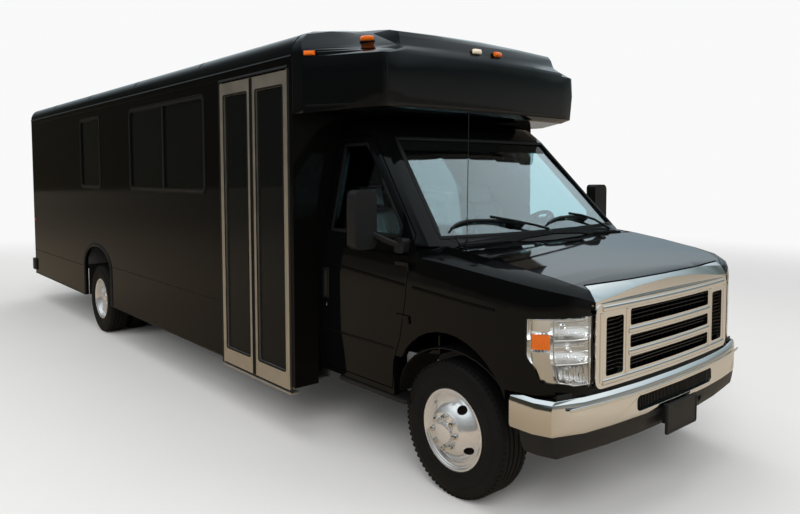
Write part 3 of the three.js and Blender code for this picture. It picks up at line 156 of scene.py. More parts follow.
@dataclass(frozen=True)
class Finish:
    """One surface finish: a Principled shader with procedural colour, roughness and bump.

    Attributes:
        name: the material's name.
        color: the base colour, linear.
        roughness: middle roughness.
        metallic: the shader's metallic value.
        grain: the kind of fine structure.
        scale: how many grains there are to a metre.
        depth: height of the grain in metres.
        spread: how far roughness varies either way.
        tint: how far the colour varies, as a share.
        dust: share of road dust on what is lowest.
        coat: weight of a clear coat.
        transmission: how much light goes through.
        ior: refractive index.
        glow: strength of its own light.
    """

    name: str
    color: tuple[float, float, float]
    roughness: float
    metallic: float = 0.0
    grain: Grain = Grain.CAST
    scale: float = 400.0
    depth: float = 0.0002
    spread: float = 0.05
    tint: float = 0.1
    dust: float = 0.0
    coat: float = 0.0
    transmission: float = 0.0
    ior: float = 1.45
    glow: float = 0.0

    def material(self) -> bpy.types.Material:
        """The finish's Blender material, made on the first call.

        Returns:
            The shared material of this finish.
        """
        found = bpy.data.materials.get(self.name)
        if found:
            return found
        made = bpy.data.materials.new(self.name)
        made.use_nodes = True
        graph = Graph(made.node_tree)
        graph.tree.nodes.clear()
        colour, roughness = self._colour(graph)
        bump = graph.add("ShaderNodeBump", {"Strength": 1.0, "Distance": self.depth,
                                            "Height": self._height(graph)})
        shader = graph.add("ShaderNodeBsdfPrincipled", {
            "Base Color": colour, "Roughness": roughness, "Normal": bump.outputs["Normal"],
            "Metallic": self.metallic, "IOR": self.ior, "Transmission Weight": self.transmission,
            "Coat Weight": self.coat, "Coat Roughness": 0.02,
            "Coat IOR": 1.9 if self.transmission else 1.5})
        if self.glow:
            graph.feed(shader.inputs["Emission Color"], (*self.color, 1))
            graph.feed(shader.inputs["Emission Strength"], self.glow)
        graph.add("ShaderNodeOutputMaterial", {"Surface": shader.outputs["BSDF"]})
        return made

    def _place(self, graph: Graph) -> Socket:
        """The Object coordinates that every pattern of the finish reads.

        Args:
            graph: the material's nodes.

        Returns:
            The coordinates' socket.
        """
        found = graph.tree.nodes.get("Place") or graph.tree.nodes.new("ShaderNodeTexCoord")
        found.name = "Place"
        return found.outputs["Object"]

    def _noise(self, graph: Graph, scale: float, detail: float,
               stretch: tuple[float, float, float] = (1, 1, 1)) -> Socket:
        """A noise pattern in object space.

        Args:
            graph: the material's nodes.
            scale: features to a metre.
            detail: octaves of the noise.
            stretch: scale along each axis.

        Returns:
            The noise value's socket.
        """
        mapping = graph.add("ShaderNodeMapping", {"Vector": self._place(graph), "Scale": stretch})
        noise = graph.add("ShaderNodeTexNoise", {"Vector": mapping.outputs["Vector"], "Scale": scale,
                                                 "Detail": detail})
        return noise.outputs["Fac"]

    def _colour(self, graph: Graph) -> tuple[Socket, Socket]:
        """The varied colour and roughness, with dust low down.

        Args:
            graph: the material's nodes.

        Returns:
            The sockets of the colour and of the roughness.
        """
        low, high = ([min(1.0, c * (1 + way * self.tint)) for c in self.color] for way in (-1, 1))
        colour = graph.mix(self._noise(graph, 2.3 if self.scale < 700 else 9.0, 4), low, high)
        ends = (max(0.02, self.roughness - self.spread), min(1.0, self.roughness + self.spread))
        roughness = graph.ranged(self._noise(graph, 7.0, 6), (0.3, 0.7), ends)
        if self.dust:
            parts = graph.add("ShaderNodeSeparateXYZ", {"Vector": self._place(graph)})
            fade = graph.ranged(parts.outputs["Z"], (0.15, 1.1), (self.dust, 0.0))
            share = graph.math("MULTIPLY", fade, self._noise(graph, 5.0, 8))
            colour = graph.mix(share, colour, ROAD_DUST)
            roughness = graph.math("ADD", roughness, share)
        return colour, roughness

    def _height(self, graph: Graph) -> Socket:
        """The bump pattern of the finish's grain.

        Args:
            graph: the material's nodes.

        Returns:
            The pattern's socket.
        """
        if self.grain is Grain.BRUSHED:
            return self._noise(graph, self.scale, 3, (1, 1, 0.02))
        if self.grain is Grain.LEATHER:
            return graph.add("ShaderNodeTexVoronoi", {"Vector": self._place(graph), "Scale": self.scale},
                             feature="DISTANCE_TO_EDGE").outputs["Distance"]
        if self.grain is Grain.RIBBED:
            return graph.add("ShaderNodeTexWave", {"Vector": self._place(graph), "Scale": self.scale,
                                                   "Distortion": 0.6},
                             wave_type="BANDS", bands_direction="X").outputs["Fac"]
        return self._noise(graph, self.scale, 2 if self.grain is Grain.PEEL else 5)


CAB_PAINT = Finish("black_cab_paint", (0.0018, 0.0019, 0.002), 0.06, grain=Grain.PEEL, scale=190,
                   depth=0.000012, spread=0.02, ior=1.3)
CAP_PAINT = replace(CAB_PAINT, name="black_cap_paint", color=(0.0018, 0.0021, 0.0024), ior=1.45)
POLISHED_PAINT = replace(CAB_PAINT, name="polished_black_paint", color=(0.0018, 0.0021, 0.0025),
                         roughness=0.05, ior=2.1)
BLACK_PAINT = replace(CAB_PAINT, name="black_body_paint", color=(0.0026, 0.0024, 0.0022), roughness=0.07,
                      dust=0.03, ior=1.16)
SILVER_FRAME = Finish("brushed_aluminium", (0.8, 0.77, 0.72), 0.5, 1.0, Grain.BRUSHED, 900, 0.00004)
DARK_GLASS = Finish("smoked_glass", (0.004, 0.0045, 0.0042), 0.03, grain=Grain.PEEL, scale=6,
                    depth=0.0001, spread=0.01, dust=0.02, ior=1.19)
CLEAR_GLASS = Finish("tinted_clear_glass", (0.8, 0.87, 0.85), 0.01, grain=Grain.PEEL, scale=5,
                     depth=0.00005, spread=0.005, tint=0.02, transmission=1.0, ior=1.1)
SCREEN_GLASS = Finish("windshield_glass", (0.4, 0.7, 0.78), 0.01, grain=Grain.PEEL, scale=5,
                      depth=0.00005, spread=0.005, tint=0.02, transmission=1.0, ior=1.5, coat=1.0)
CHROME = Finish("bright_chrome", (0.86, 0.85, 0.83), 0.06, 1.0, Grain.PEEL, 40, 0.00003, 0.03, 0.03, dust=0.1)
DULL_CHROME = Finish("wheel_chrome", (0.9, 0.88, 0.85), 0.12, 0.75, Grain.CAST, 120, 0.00004, 0.05, 0.06,
                     dust=0.15)
BLACK_PLASTIC = Finish("moulded_black_plastic", (0.007, 0.0072, 0.0075), 0.5, scale=900, depth=0.0001,
                       dust=0.06, ior=1.38)
GLOSS_PLASTIC = Finish("glossy_black_plastic", (0.004, 0.004, 0.0042), 0.2, scale=500, depth=0.00003, ior=1.4)
TYRE_RUBBER = Finish("tyre_rubber", (0.0042, 0.0042, 0.0042), 0.6, scale=500, depth=0.0002, dust=0.03,
                     ior=1.3)
SEAL_RUBBER = Finish("seal_rubber", (0.005, 0.005, 0.005), 0.6, scale=700, depth=0.0001, dust=0.04, ior=1.35)
FRAME_STEEL = Finish("painted_frame_steel", (0.02, 0.02, 0.021), 0.55, scale=160, depth=0.0004, dust=0.6)
CAST_STEEL = Finish("bare_cast_steel", (0.11, 0.1, 0.09), 0.6, 1.0, scale=200, depth=0.0008, spread=0.12,
                    tint=0.3, dust=0.5)
GREY_TRIM = Finish("grey_moulded_trim", (0.085, 0.085, 0.08), 0.7, grain=Grain.LEATHER, scale=300,
                   depth=0.00015)
GREY_CARPET = Finish("dark_floor_covering", (0.05, 0.048, 0.046), 0.9, scale=700, depth=0.0012, tint=0.35)
BLACK_VINYL = Finish("black_vinyl", (0.018, 0.016, 0.017), 0.42, grain=Grain.LEATHER, scale=220,
                     depth=0.0002, spread=0.08, coat=0.1)
AMBER_LENS = Finish("amber_lens", (0.72, 0.13, 0.006), 0.1, grain=Grain.RIBBED, scale=60, depth=0.0006,
                    tint=0.15, coat=0.5, glow=0.05)
RED_LENS = replace(AMBER_LENS, name="red_lens", color=(0.42, 0.01, 0.008), coat=0.6, glow=0.0)
PALE_LENS = replace(AMBER_LENS, name="pale_lens", color=(0.78, 0.66, 0.5), tint=0.1, coat=0.6, glow=0.15)
CLEAR_LENS = Finish("clear_lens", (0.93, 0.95, 0.96), 0.03, grain=Grain.PEEL, scale=12, depth=0.0003,
                    spread=0.01, tint=0.01, transmission=1.0, ior=1.15)
REFLECTOR = Finish("lamp_reflector", (0.74, 0.74, 0.73), 0.24, 1.0, Grain.RIBBED, 26, 0.0006, 0.04, 0.03)
DIAL_FACE = Finish("dial_face", (0.03, 0.03, 0.034), 0.35, scale=500, depth=0.00005)
MIRROR_GLASS = Finish("mirror_glass", (0.86, 0.88, 0.9), 0.02, 1.0, Grain.PEEL, 5, 0.00002, 0.01, 0.01)


# ---------------------------------------------------------------- mesh drafting
@dataclass
class Draft:
    """A mesh being drawn from rings of points, in the row frame."""

    verts: list[Vector] = field(default_factory=list)
    faces: list[tuple[int, ...]] = field(default_factory=list)

    def skin(self, rings: Sequence[Ring], caps: bool = True, closed: bool = True,
             looped: bool = False) -> "Draft":
        """Stretches a surface over rings that have as many points.

        Args:
            rings: the rings in order.
            caps: close the first and last ring.
            closed: join each ring's last point to its first.
            looped: join the last ring to the first.

        Returns:
            The draft itself.
        """
        base, size = len(self.verts), len(rings[0])
        for ring in rings:
            self.verts.extend(Vector(p) for p in ring)
        count = len(rings)
        for r in range(count if looped else count - 1):
            a, b = base + r * size, base + ((r + 1) % count) * size
            for i in range(size if closed else size - 1):
                j = (i + 1) % size
                self.faces.append((a + i, a + j, b + j, b + i))
        if caps and not looped:
            self.faces.append(tuple(base + i for i in reversed(range(size))))
            self.faces.append(tuple(base + (count - 1) * size + i for i in range(size)))
        return self

    def prism(self, outline: Sequence[Point], axis: str, start: float, end: float) -> "Draft":
        """Extrudes a flat outline along an axis; u, v are the two other axes in order, in mm.

        Args:
            outline: the u and v of each corner.
            axis: x, y or z, the axis to extrude along.
            start: where it starts on the axis.
            end: where it ends on the axis.

        Returns:
            The draft itself.
        """
        place: dict[str, Callable[[Point, float], Vector]] = {
            "x": lambda p, w: spot(w, p[0], p[1]),
            "y": lambda p, w: spot(p[0], w, p[1]),
            "z": lambda p, w: spot(p[0], p[1], w),
        }
        return self.skin([[place[axis](p, w) for p in outline] for w in (start, end)])

    def box(self, x: Point, y: Point, z: Point) -> "Draft":
        """A block between two places along each axis, in millimetres."""
        corners = [(x[0], y[0]), (x[1], y[0]), (x[1], y[1]), (x[0], y[1])]
        return self.prism(corners, "z", z[0], z[1])

    def turned(self, profile: Sequence[Point], axis: str, at: Point, steps: int = 32,
               caps: bool = False, looped: bool = False) -> "Draft":
        """Turns a profile about an axis.

        Args:
            profile: pairs of radius and height along the axis, in mm.
            axis: the axis it turns about.
            at: a point of the axis, in mm.
            steps: how many flats it has round.
            caps: fill the first and last circle.
            looped: join the last circle to the first.

        Returns:
            The draft itself.
        """
        def ring(radius: float, height: float) -> Ring:
            """The circle of one profile point.

            Args:
                radius: its radius in mm.
                height: its place along the axis, in mm.

            Returns:
                The circle's points.
            """
            points = []
            for u, v in circle(steps):
                u, v = radius * u, radius * v
                offset = {"x": (height, u, v), "y": (v, height, u), "z": (u, v, height)}[axis]
                points.append(spot(*(c + o for c, o in zip(at, offset))))
            return points

        return self.skin([ring(max(r, 0.02), h) for r, h in profile], caps=caps, looped=looped)

    def pipe(self, path: Sequence[Vector], radius: float, sides: int = 10, closed: bool = False) -> "Draft":
        """A round bar along a path of points in metres; its radius is in mm.

        Args:
            path: the points to follow.
            radius: the bar's radius.
            sides: flats round the bar.
            closed: join the last point to the first.

        Returns:
            The draft itself.
        """
        rings = []
        for i, p in enumerate(path):
            before = path[i - 1] if i or closed else p
            after = path[(i + 1) % len(path)] if closed or i + 1 < len(path) else p
            along = (after - before).normalized()
            side = along.cross(Vector((0, 0, 1)))
            side = (side if side.length > 0.1 else along.cross(Vector((0, 1, 0)))).normalized()
            up = side.cross(along)
            rings.append([p + (side * u + up * v) * radius / 1000 for u, v in circle(sides)])
        return self.skin(rings, caps=not closed, looped=closed)

    def slab(self, face: Sequence[Ring], back: Sequence[Ring]) -> "Draft":
        """Makes a closed sheet of two grids of points.

        Args:
            face: the rows of points on its face.
            back: as many rows, with as many points each, on its back.

        Returns:
            The draft itself.
        """
        base, rows, across = len(self.verts), len(face), len(face[0])
        for sheet in (face, back):
            self.skin(sheet, caps=False, closed=False)
        border = ([(0, c) for c in range(across)] + [(r, across - 1) for r in range(1, rows)]
                  + [(rows - 1, c) for c in reversed(range(across - 1))]
                  + [(r, 0) for r in reversed(range(1, rows - 1))])
        for (r0, c0), (r1, c1) in zip(border, border[1:] + border[:1]):
            a, b = base + r0 * across + c0, base + r1 * across + c1
            self.faces.append((a, b, rows * across + b, rows * across + a))
        return self

    def joined(self, other: "Draft") -> "Draft":
        """Adds another draft's surface to this one.

        Args:
            other: the draft to add.

        Returns:
            The draft itself.
        """
        base = len(self.verts)
        self.verts.extend(other.verts)
        self.faces.extend(tuple(base + i for i in f) for f in other.faces)
        return self

    def mesh(self, name: str, sharp: float = 35.0) -> bpy.types.Mesh:
        """The finished mesh, with its faces outwards and its edges smooth below an angle.

        Args:
            name: the mesh's name.
            sharp: degrees above which an edge stays sharp.

        Returns:
            The mesh.
        """
        made = bpy.data.meshes.new(name)
        made.from_pydata([tuple(v) for v in self.verts], [], self.faces)
        bm = bmesh.new()
        bm.from_mesh(made)
        bmesh.ops.remove_doubles(bm, verts=bm.verts, dist=0.00001)
        bmesh.ops.recalc_face_normals(bm, faces=bm.faces)
        bm.to_mesh(made)
        bm.free()
        made.shade_smooth()
        made.set_sharp_from_angle(angle=math.radians(sharp))
        return made


def rounded(u0: float, u1: float, v0: float, v1: float, radius: float,
            steps: int = 5) -> list[tuple[float, float]]:
    """The outline of a rectangle with round corners, in the units given.

    Args:
        u0: where it starts in u.
        u1: where it ends in u.
        v0: where it starts in v.
        v1: where it ends in v.
        radius: the corners' radius.
        steps: flats on each corner.

    Returns:
        The outline's points.
    """
    corners = [(u1 - radius, v0 + radius, -90), (u1 - radius, v1 - radius, 0),
               (u0 + radius, v1 - radius, 90), (u0 + radius, v0 + radius, 180)]
    return [(u + radius * math.cos(math.radians(a + 90 * k / steps)),
             v + radius * math.sin(math.radians(a + 90 * k / steps)))
            for u, v, a in corners for k in range(steps + 1)]


def publish(draft: Draft | bpy.types.Mesh, name: str, finish: Finish, body: str = "bus_body",
            sharp: float = 35.0, bevel: float = 0.0) -> bpy.types.Object:
    """Puts a finished piece into the scene, on its body.

    Args:
        draft: what the piece is made of.
        name: the piece's name.
        finish: its finish.
        body: the body that it moves with.
        sharp: degrees above which an edge stays sharp.
        bevel: width of rounded edges in mm.

    Returns:
        The object.
    """
    mesh = draft.mesh(name, sharp) if isinstance(draft, Draft) else draft
    mesh.name = name
    made = bpy.data.objects.new(name, mesh)
    bpy.context.scene.collection.objects.link(made)
    mesh.materials.clear()
    mesh.materials.append(finish.material())
    if bevel:
        edge = made.modifiers.new("Edges", "BEVEL")
        edge.width = bevel / 1000
        edge.segments = 2
        edge.limit_method = "ANGLE"
        edge.angle_limit = math.radians(40)
        edge.harden_normals = True
    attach(made, body)
    LOG.info("%s: %d faces on %s", name, len(mesh.polygons), body)
    return made


# ---------------------------------------------------------------- geometry nodes
class NodeGraph(Graph):
    """A Geometry Nodes tree under construction."""

    def __init__(self, name: str) -> None:
        """Starts an empty tree with a geometry input and output.

        Args:
            name: the tree's name.
        """
        super().__init__(bpy.data.node_groups.new(name, "GeometryNodeTree"))
        for way in ("INPUT", "OUTPUT"):
            self.tree.interface.new_socket("Geometry", in_out=way, socket_type="NodeSocketGeometry")
        self.source = self.tree.nodes.new("NodeGroupInput")
        self.target = self.tree.nodes.new("NodeGroupOutput")

    def socket(self, name: str, kind: str) -> Socket:
        """Adds a named input of a kind such as Int or Float, and gives its socket inside the tree."""
        self.tree.interface.new_socket(name, in_out="INPUT", socket_type=f"NodeSocket{kind}")
        return self.source.outputs[name]

    def identifier(self, name: str) -> str:
        """The identifier of a named input."""
        return next(item.identifier for item in self.tree.interface.items_tree
                    if item.name == name and item.in_out == "INPUT")


class Copies:
    """Copies of a small shape, laid out by Geometry Nodes and kept as a plain mesh."""

    def _points(self, graph: NodeGraph) -> dict[str, Socket]:
        """What the tree puts copies on, as inputs of Instance on Points."""
        raise NotImplementedError

    def _start(self) -> bpy.types.Mesh:
        """The mesh that the tree starts from."""
        return bpy.data.meshes.new("start")

    def _values(self) -> dict[str, float]:
        """The values of the tree's own inputs."""
        return {}

    def build(self, shape: Draft, sharp: float = 35.0) -> bpy.types.Mesh:
        """Runs the tree and keeps its result.

        Args:
            shape: the shape to copy, drawn about the origin in metres.
            sharp: degrees above which an edge stays sharp.

        Returns:
            The mesh of all the copies.
        """
        pattern = bpy.data.objects.new("shape", shape.mesh("shape", sharp))
        host = bpy.data.objects.new("host", self._start())
        for thing in (host, pattern):
            bpy.context.scene.collection.objects.link(thing)
        graph = NodeGraph("copies")
        info = graph.add("GeometryNodeObjectInfo", {"Object": graph.socket("Shape", "Object")})
        copies = graph.add("GeometryNodeInstanceOnPoints",
                           {"Instance": info.outputs["Geometry"], **self._points(graph)})
        real = graph.add("GeometryNodeRealizeInstances", {"Geometry": copies.outputs["Instances"]})
        graph.feed(graph.target.inputs["Geometry"], real.outputs["Geometry"])
        modifier = host.modifiers.new("Copies", "NODES")
        modifier.node_group = graph.tree
        for key, value in {"Shape": pattern, **self._values()}.items():
            modifier[graph.identifier(key)] = value
        mesh = bpy.data.meshes.new_from_object(host.evaluated_get(bpy.context.evaluated_depsgraph_get()))
        host.modifiers.clear()
        for thing in (host, pattern):
            bpy.data.objects.remove(thing)
        return mesh


class Pattern(Enum):
    """How a Repeat lays out its copies."""

    ROW = "row"
    RING = "ring"


@dataclass
class Repeat(Copies):
    """Copies at even steps.

    Attributes:
        pattern: a row along X, or a ring about Z.
        count: how many copies there are.
        pitch: distance between copies in metres, or the ring's radius.
        place: the matrix that takes the pattern to its place on the bus.
    """

    pattern: Pattern
    count: int
    pitch: float
    place: Matrix

    def _points(self, graph: NodeGraph) -> dict[str, Socket]:
        """A row, or a ring with each copy turned outwards.

        Args:
            graph: the tree to build in.

        Returns:
            The sockets of the points and, on a ring, of their turns.
        """
        count, pitch = graph.socket("Count", "Int"), graph.socket("Pitch", "Float")
        if self.pattern is Pattern.ROW:
            offset = graph.add("ShaderNodeCombineXYZ", {"X": pitch}).outputs[0]
            line = graph.add("GeometryNodeMeshLine", {"Count": count, "Offset": offset})
            return {"Points": line.outputs["Mesh"]}
        ring = graph.add("GeometryNodeMeshCircle", {"Vertices": count, "Radius": pitch})
        index = graph.add("GeometryNodeInputIndex").outputs[0]
        turn = graph.math("DIVIDE", graph.math("MULTIPLY", index, 2 * math.pi), count)
        return {"Points": ring.outputs["Mesh"],
                "Rotation": graph.add("ShaderNodeCombineXYZ", {"Z": turn}).outputs[0]}

    def _values(self) -> dict[str, float]:
        """The count and the pitch."""
        return {"Count": self.count, "Pitch": self.pitch}

    def build(self, shape: Draft, sharp: float = 35.0) -> bpy.types.Mesh:
        """Runs the tree and takes its result to its place on the bus.

        Args:
            shape: the shape to copy, drawn about the origin in metres.
            sharp: degrees above which an edge stays sharp.

        Returns:
            The finished mesh.
        """
        mesh = super().build(shape, sharp)
        mesh.transform(self.place)
        return mesh


@dataclass
class Scatter(Copies):
    """Copies at places found on a surface.

    Attributes:
        places: the matrix of each copy.
    """

    places: Sequence[Matrix]

    def _start(self) -> bpy.types.Mesh:
        """A point for each copy, with its turn as an attribute.

        Returns:
            The cloud of points.
        """
        cloud = bpy.data.meshes.new("cloud")
        cloud.from_pydata([tuple(m.to_translation()) for m in self.places], [], [])
        turns = cloud.attributes.new("turn", "FLOAT_VECTOR", "POINT")
        for item, matrix in zip(turns.data, self.places):
            item.vector = tuple(matrix.to_euler())
        return cloud

    def _points(self, graph: NodeGraph) -> dict[str, Socket]:
        """The cloud's own points and turns."""
        turn = graph.add("GeometryNodeInputNamedAttribute", {"Name": "turn"}, data_type="FLOAT_VECTOR")
        return {"Points": graph.source.outputs["Geometry"], "Rotation": turn.outputs["Attribute"]}


def shape_at(width: float, depth: float, height: float) -> Draft:
    """A block about the origin, in metres, to be copied by a Repeat.

    Args:
        width: its size in x.
        depth: its size in y.
        height: its size in z.

    Returns:
        The block.
    """
    x, y, z = width / 2, depth / 2, height / 2
    ring = [(-x, -y), (x, -y), (x, y), (-x, y)]
    return Draft().skin([[Vector((u, v, w)) for u, v in ring] for w in (-z, z)])


def stud(outline: Sequence[Point], sides: int, caps: bool = False) -> Draft:
    """A shape turned about the origin's Z axis, from pairs of radius and height in metres."""
    return Draft().skin([[Vector((r * u, r * v, h)) for u, v in circle(sides)] for r, h in outline],
                        caps=caps)


def knob_at(radius: float, height: float, sides: int = 12) -> Draft:
    """A round knob on the origin's plane, in metres, a little smaller at its top."""
    return stud(((radius, 0), (radius, height * 0.8), (radius * 0.8, height)), sides, caps=True)


def facing(origin: Vector, along: Vector, normal: Vector) -> Matrix:
    """A matrix whose X axis runs along a direction and whose Z axis is a surface's normal.

    Args:
        origin: where the matrix moves to.
        along: the direction, which is laid onto the surface.
        normal: the surface's normal.

    Returns:
        The matrix.
    """
    z = normal.normalized()
    x = (along - z * along.dot(z)).normalized()
    turned = Matrix((x, z.cross(x), z)).transposed().to_4x4()
    return Matrix.Translation(origin) @ turned


class CadSmoother:
    """Welds the loose triangles of a CAD node and smooths what is curved, as a modifier."""

    def __init__(self, angle: float = 28.0) -> None:
        """Builds the shared tree.

        Args:
            angle: degrees above which an edge stays sharp.
        """
        graph = NodeGraph("smooth_cad")
        limit = graph.socket("Sharp Angle", "Float")
        bare = graph.add("GeometryNodeRemoveAttribute",
                         {"Geometry": graph.source.outputs["Geometry"], "Name": "custom_normal"})
        welded = graph.add("GeometryNodeMergeByDistance",
                           {"Geometry": bare.outputs["Geometry"], "Distance": 0.00005})
        angles = graph.add("GeometryNodeInputMeshEdgeAngle")
        compare = graph.add("FunctionNodeCompare", {"A": angles.outputs["Unsigned Angle"], "B": limit},
                            operation="LESS_THAN")
        faces = graph.add("GeometryNodeSetShadeSmooth", {"Geometry": welded.outputs["Geometry"]})
        edges = graph.add("GeometryNodeSetShadeSmooth",
                          {"Geometry": faces.outputs["Geometry"], "Shade Smooth": compare.outputs["Result"]},
                          domain="EDGE")
        graph.feed(graph.target.inputs["Geometry"], edges.outputs["Geometry"])
        self.graph, self.angle = graph, math.radians(angle)

    def dress(self, node: bpy.types.Object, angle: float = 0.0, bevel: float = 0.0) -> None:
        """Adds the smoothing to one CAD node.

        Args:
            node: the node.
            angle: degrees above which its edges stay sharp, where they differ from the rest.
            bevel: width of its rounded corners in mm.
        """
        modifier = node.modifiers.new("Smooth", "NODES")
        modifier.node_group = self.graph.tree
        modifier[self.graph.identifier("Sharp Angle")] = math.radians(angle) if angle else self.angle
        if bevel:
            edge = node.modifiers.new("Corners", "BEVEL")
            edge.width, edge.segments = bevel / 1000, 4
            edge.limit_method, edge.angle_limit = "ANGLE", math.radians(26)
            edge.use_clamp_overlap = True


# ---------------------------------------------------------------- laying trim on the frame
class Shell:
    """The outside of some CAD nodes, for laying trim on it."""

    def __init__(self, nodes: Nodes, *names: str) -> None:
        """Gathers the nodes' faces.

        Args:
            nodes: the CAD nodes by name.
            names: the nodes that make up the shell.
        """
        verts: list[Vector] = []
        faces: list[tuple[int, ...]] = []
        for name in names:
            mesh = nodes[name].data
            base = len(verts)
            verts.extend(v.co.copy() for v in mesh.vertices)
            faces.extend(tuple(base + i for i in p.vertices) for p in mesh.polygons)
        self.tree = BVHTree.FromPolygons(verts, faces)

    def land(self, start: Vector, along: Point) -> tuple[Vector, Vector]:
        """Follows a line to the shell.

        Args:
            start: where the line starts.
            along: its direction.

        Returns:
            Where it meets the shell, and the outward normal there.
        """
        way = Vector(along)
        place, normal, _, _ = self.tree.ray_cast(start, way)
        if place is None:
            raise ValueError(f"no surface under {tuple(start)}")
        return place, normal if normal.dot(way) < 0 else -normal

    def trace(self, points: Sequence[Point], along: Point, steps: int = 6,
              closed: bool = False) -> Lane:
        """Lays a line of points, in mm, on the shell.

        Args:
            points: corners of the line, in mm, each outside the shell.
            along: the direction in which the line is dropped on the shell.
            steps: pieces that each stretch is cut into.
            closed: join the last point to the first.

        Returns:
            Places and normals along the line.
        """
        corners = [spot(*p) for p in points]
        ends = corners[1:] + (corners[:1] if closed else [])
        starts = [a.lerp(b, k / steps) for a, b in zip(corners, ends) for k in range(steps)]
        if not closed:
            starts.append(corners[-1])
        found = [self.land(p, along) for p in starts]
        count = len(found)
        normals = []
        for i in range(count):
            near = [found[(i + d) % count][1] if closed else found[min(max(i + d, 0), count - 1)][1]
                    for d in (-1, 0, 1)]
            normals.append((near[0] + near[1] * 2 + near[2]).normalized())
        return [(place, normal) for (place, _), normal in zip(found, normals)]


class Section(Enum):
    """Cross sections of trim, as shares of its width and height."""

    ROUND = ((-0.5, -0.3), (-0.46, 0.35), (-0.28, 0.85), (0.0, 1.0), (0.28, 0.85), (0.46, 0.35), (0.5, -0.3))
    FLAT = ((-0.5, -0.3), (-0.5, 0.8), (-0.44, 1.0), (0.44, 1.0), (0.5, 0.8), (0.5, -0.3))
    LIP = ((-0.5, -0.3), (-0.5, 0.3), (-0.1, 0.55), (0.2, 1.0), (0.5, 0.9), (0.5, -0.3))


def moulding(path: Lane, width: float, height: float,
             section: Section = Section.ROUND, closed: bool = False) -> Draft:
    """A strip that follows a line on a surface.

    Args:
        path: places and normals along the line.
        width: the strip's width in mm.
        height: how far it stands off the surface, in mm.
        section: its cross section.
        closed: join its ends.

    Returns:
        The strip's surface.
    """
    rings, count = [], len(path)
    for i, (place, normal) in enumerate(path):
        before = path[i - 1][0] if i or closed else place
        after = path[(i + 1) % count][0] if closed or i + 1 < count else place
        across = normal.cross(after - before).normalized()
        rings.append([place + (across * u * width + normal * v * height) / 1000 for u, v in section.value])
    return Draft().skin(rings, caps=not closed, looped=closed)


def patch(rows: Sequence[Lane], lift: float | Callable[[int, int], float],
          thick: float) -> Draft:
    """A sheet over a grid of places on a surface.

    Args:
        rows: rows of places and normals.
        lift: how far its outside stands off the surface, in mm, or that for each row and column.
        thick: its thickness in mm.

    Returns:
        The closed sheet.
    """
    rise = lift if callable(lift) else lambda row, column: lift
    face, back = ([[p + n * ((rise(r, c) - off) / 1000) for c, (p, n) in enumerate(row)]
                   for r, row in enumerate(rows)] for off in (0.0, thick))
    return Draft().slab(face, back)


def carved(draft: Draft, cutters: Draft, name: str, sharp: float = 35.0) -> bpy.types.Mesh:
    """Cuts one closed draft out of another.

    Args:
        draft: what is cut.
        cutters: what is taken away.
        name: the mesh's name.
        sharp: degrees above which an edge stays sharp.

    Returns:
        The cut mesh.

    Raises:
        ValueError: if the cut leaves nothing.
    """
    scene = bpy.context.scene.collection
    body, tool = (bpy.data.objects.new(f"{name}_{k}", d.mesh(f"{name}_{k}"))
                  for k, d in (("body", draft), ("tool", cutters)))
    for thing in (body, tool):
        scene.objects.link(thing)
    modifier = body.modifiers.new("Cut", "BOOLEAN")
    modifier.operation, modifier.solver, modifier.object = "DIFFERENCE", "EXACT", tool
    mesh = bpy.data.meshes.new_from_object(body.evaluated_get(bpy.context.evaluated_depsgraph_get()))
    if not mesh.polygons:
        raise ValueError(f"{name}: the cut left nothing")
    mesh.name = name
    mesh.set_sharp_from_angle(angle=math.radians(sharp))
    body.modifiers.clear()
    for thing in (body, tool):
        bpy.data.objects.remove(thing)
    return mesh


PAD_WAIST = 0.018  # how far the middle of a pad's side is drawn in, as a share
PAD_EDGE = 0.62  # what is left of a pad's half thickness at its edge, as a share
SEAM_DEPTH = 0.35  # a seam's depth as a share of the crown
SEAM_REACH = 0.07  # a seam's half width as a share of a channel


def cushion(size: Point, crown: float, seams: int = 0, steps: tuple[int, int] = (14, 10)) -> Draft:
    """A crowned pad about the origin, its sides drawn in between its corners.

    Args:
        size: width, depth and thickness in metres.
        crown: how far its top swells, in metres.
        seams: sewn channels across its width.
        steps: cells along its width and its depth.

    Returns:
        The closed pad.
    """
    width, depth, thick = size
    nx, ny = steps

    def point(i: int, j: int, top: bool) -> Vector:
        """One point of the pad's top or bottom.

        Args:
            i: its number along the width.
            j: its number along the depth.
            top: whether it is on the top.

        Returns:
            Its place in metres.
        """
        u, v = 2 * i / nx - 1, 2 * j / ny - 1
        pull = PAD_WAIST * (1 - abs(u * v))
        x = u * width / 2 * (1 - pull * (abs(u) > 0.98))
        y = v * depth / 2 * (1 - pull * (abs(v) > 0.98))
        swell = ((1 - u ** 6) * (1 - v ** 6)) ** 0.35
        pinch = 0.0
        if seams:
            place = (u + 1) / 2 * (seams + 1)
            near = abs(place - round(place))
            pinch = SEAM_DEPTH * crown * max(0.0, 1 - near / SEAM_REACH) * (0.5 < place < seams + 0.5)
        dome = crown * (1 - u ** 2) ** 0.5 * (1 - v ** 2) ** 0.5
        rise = thick / 2 * (PAD_EDGE + (1 - PAD_EDGE) * swell) + dome - pinch
        return Vector((x, y, rise if top else -thick / 2 * (0.8 + 0.2 * swell)))

    face, back = ([[point(i, j, top) for i in range(nx + 1)] for j in range(ny + 1)]
                  for top in (True, False))
    return Draft().slab(face, back)


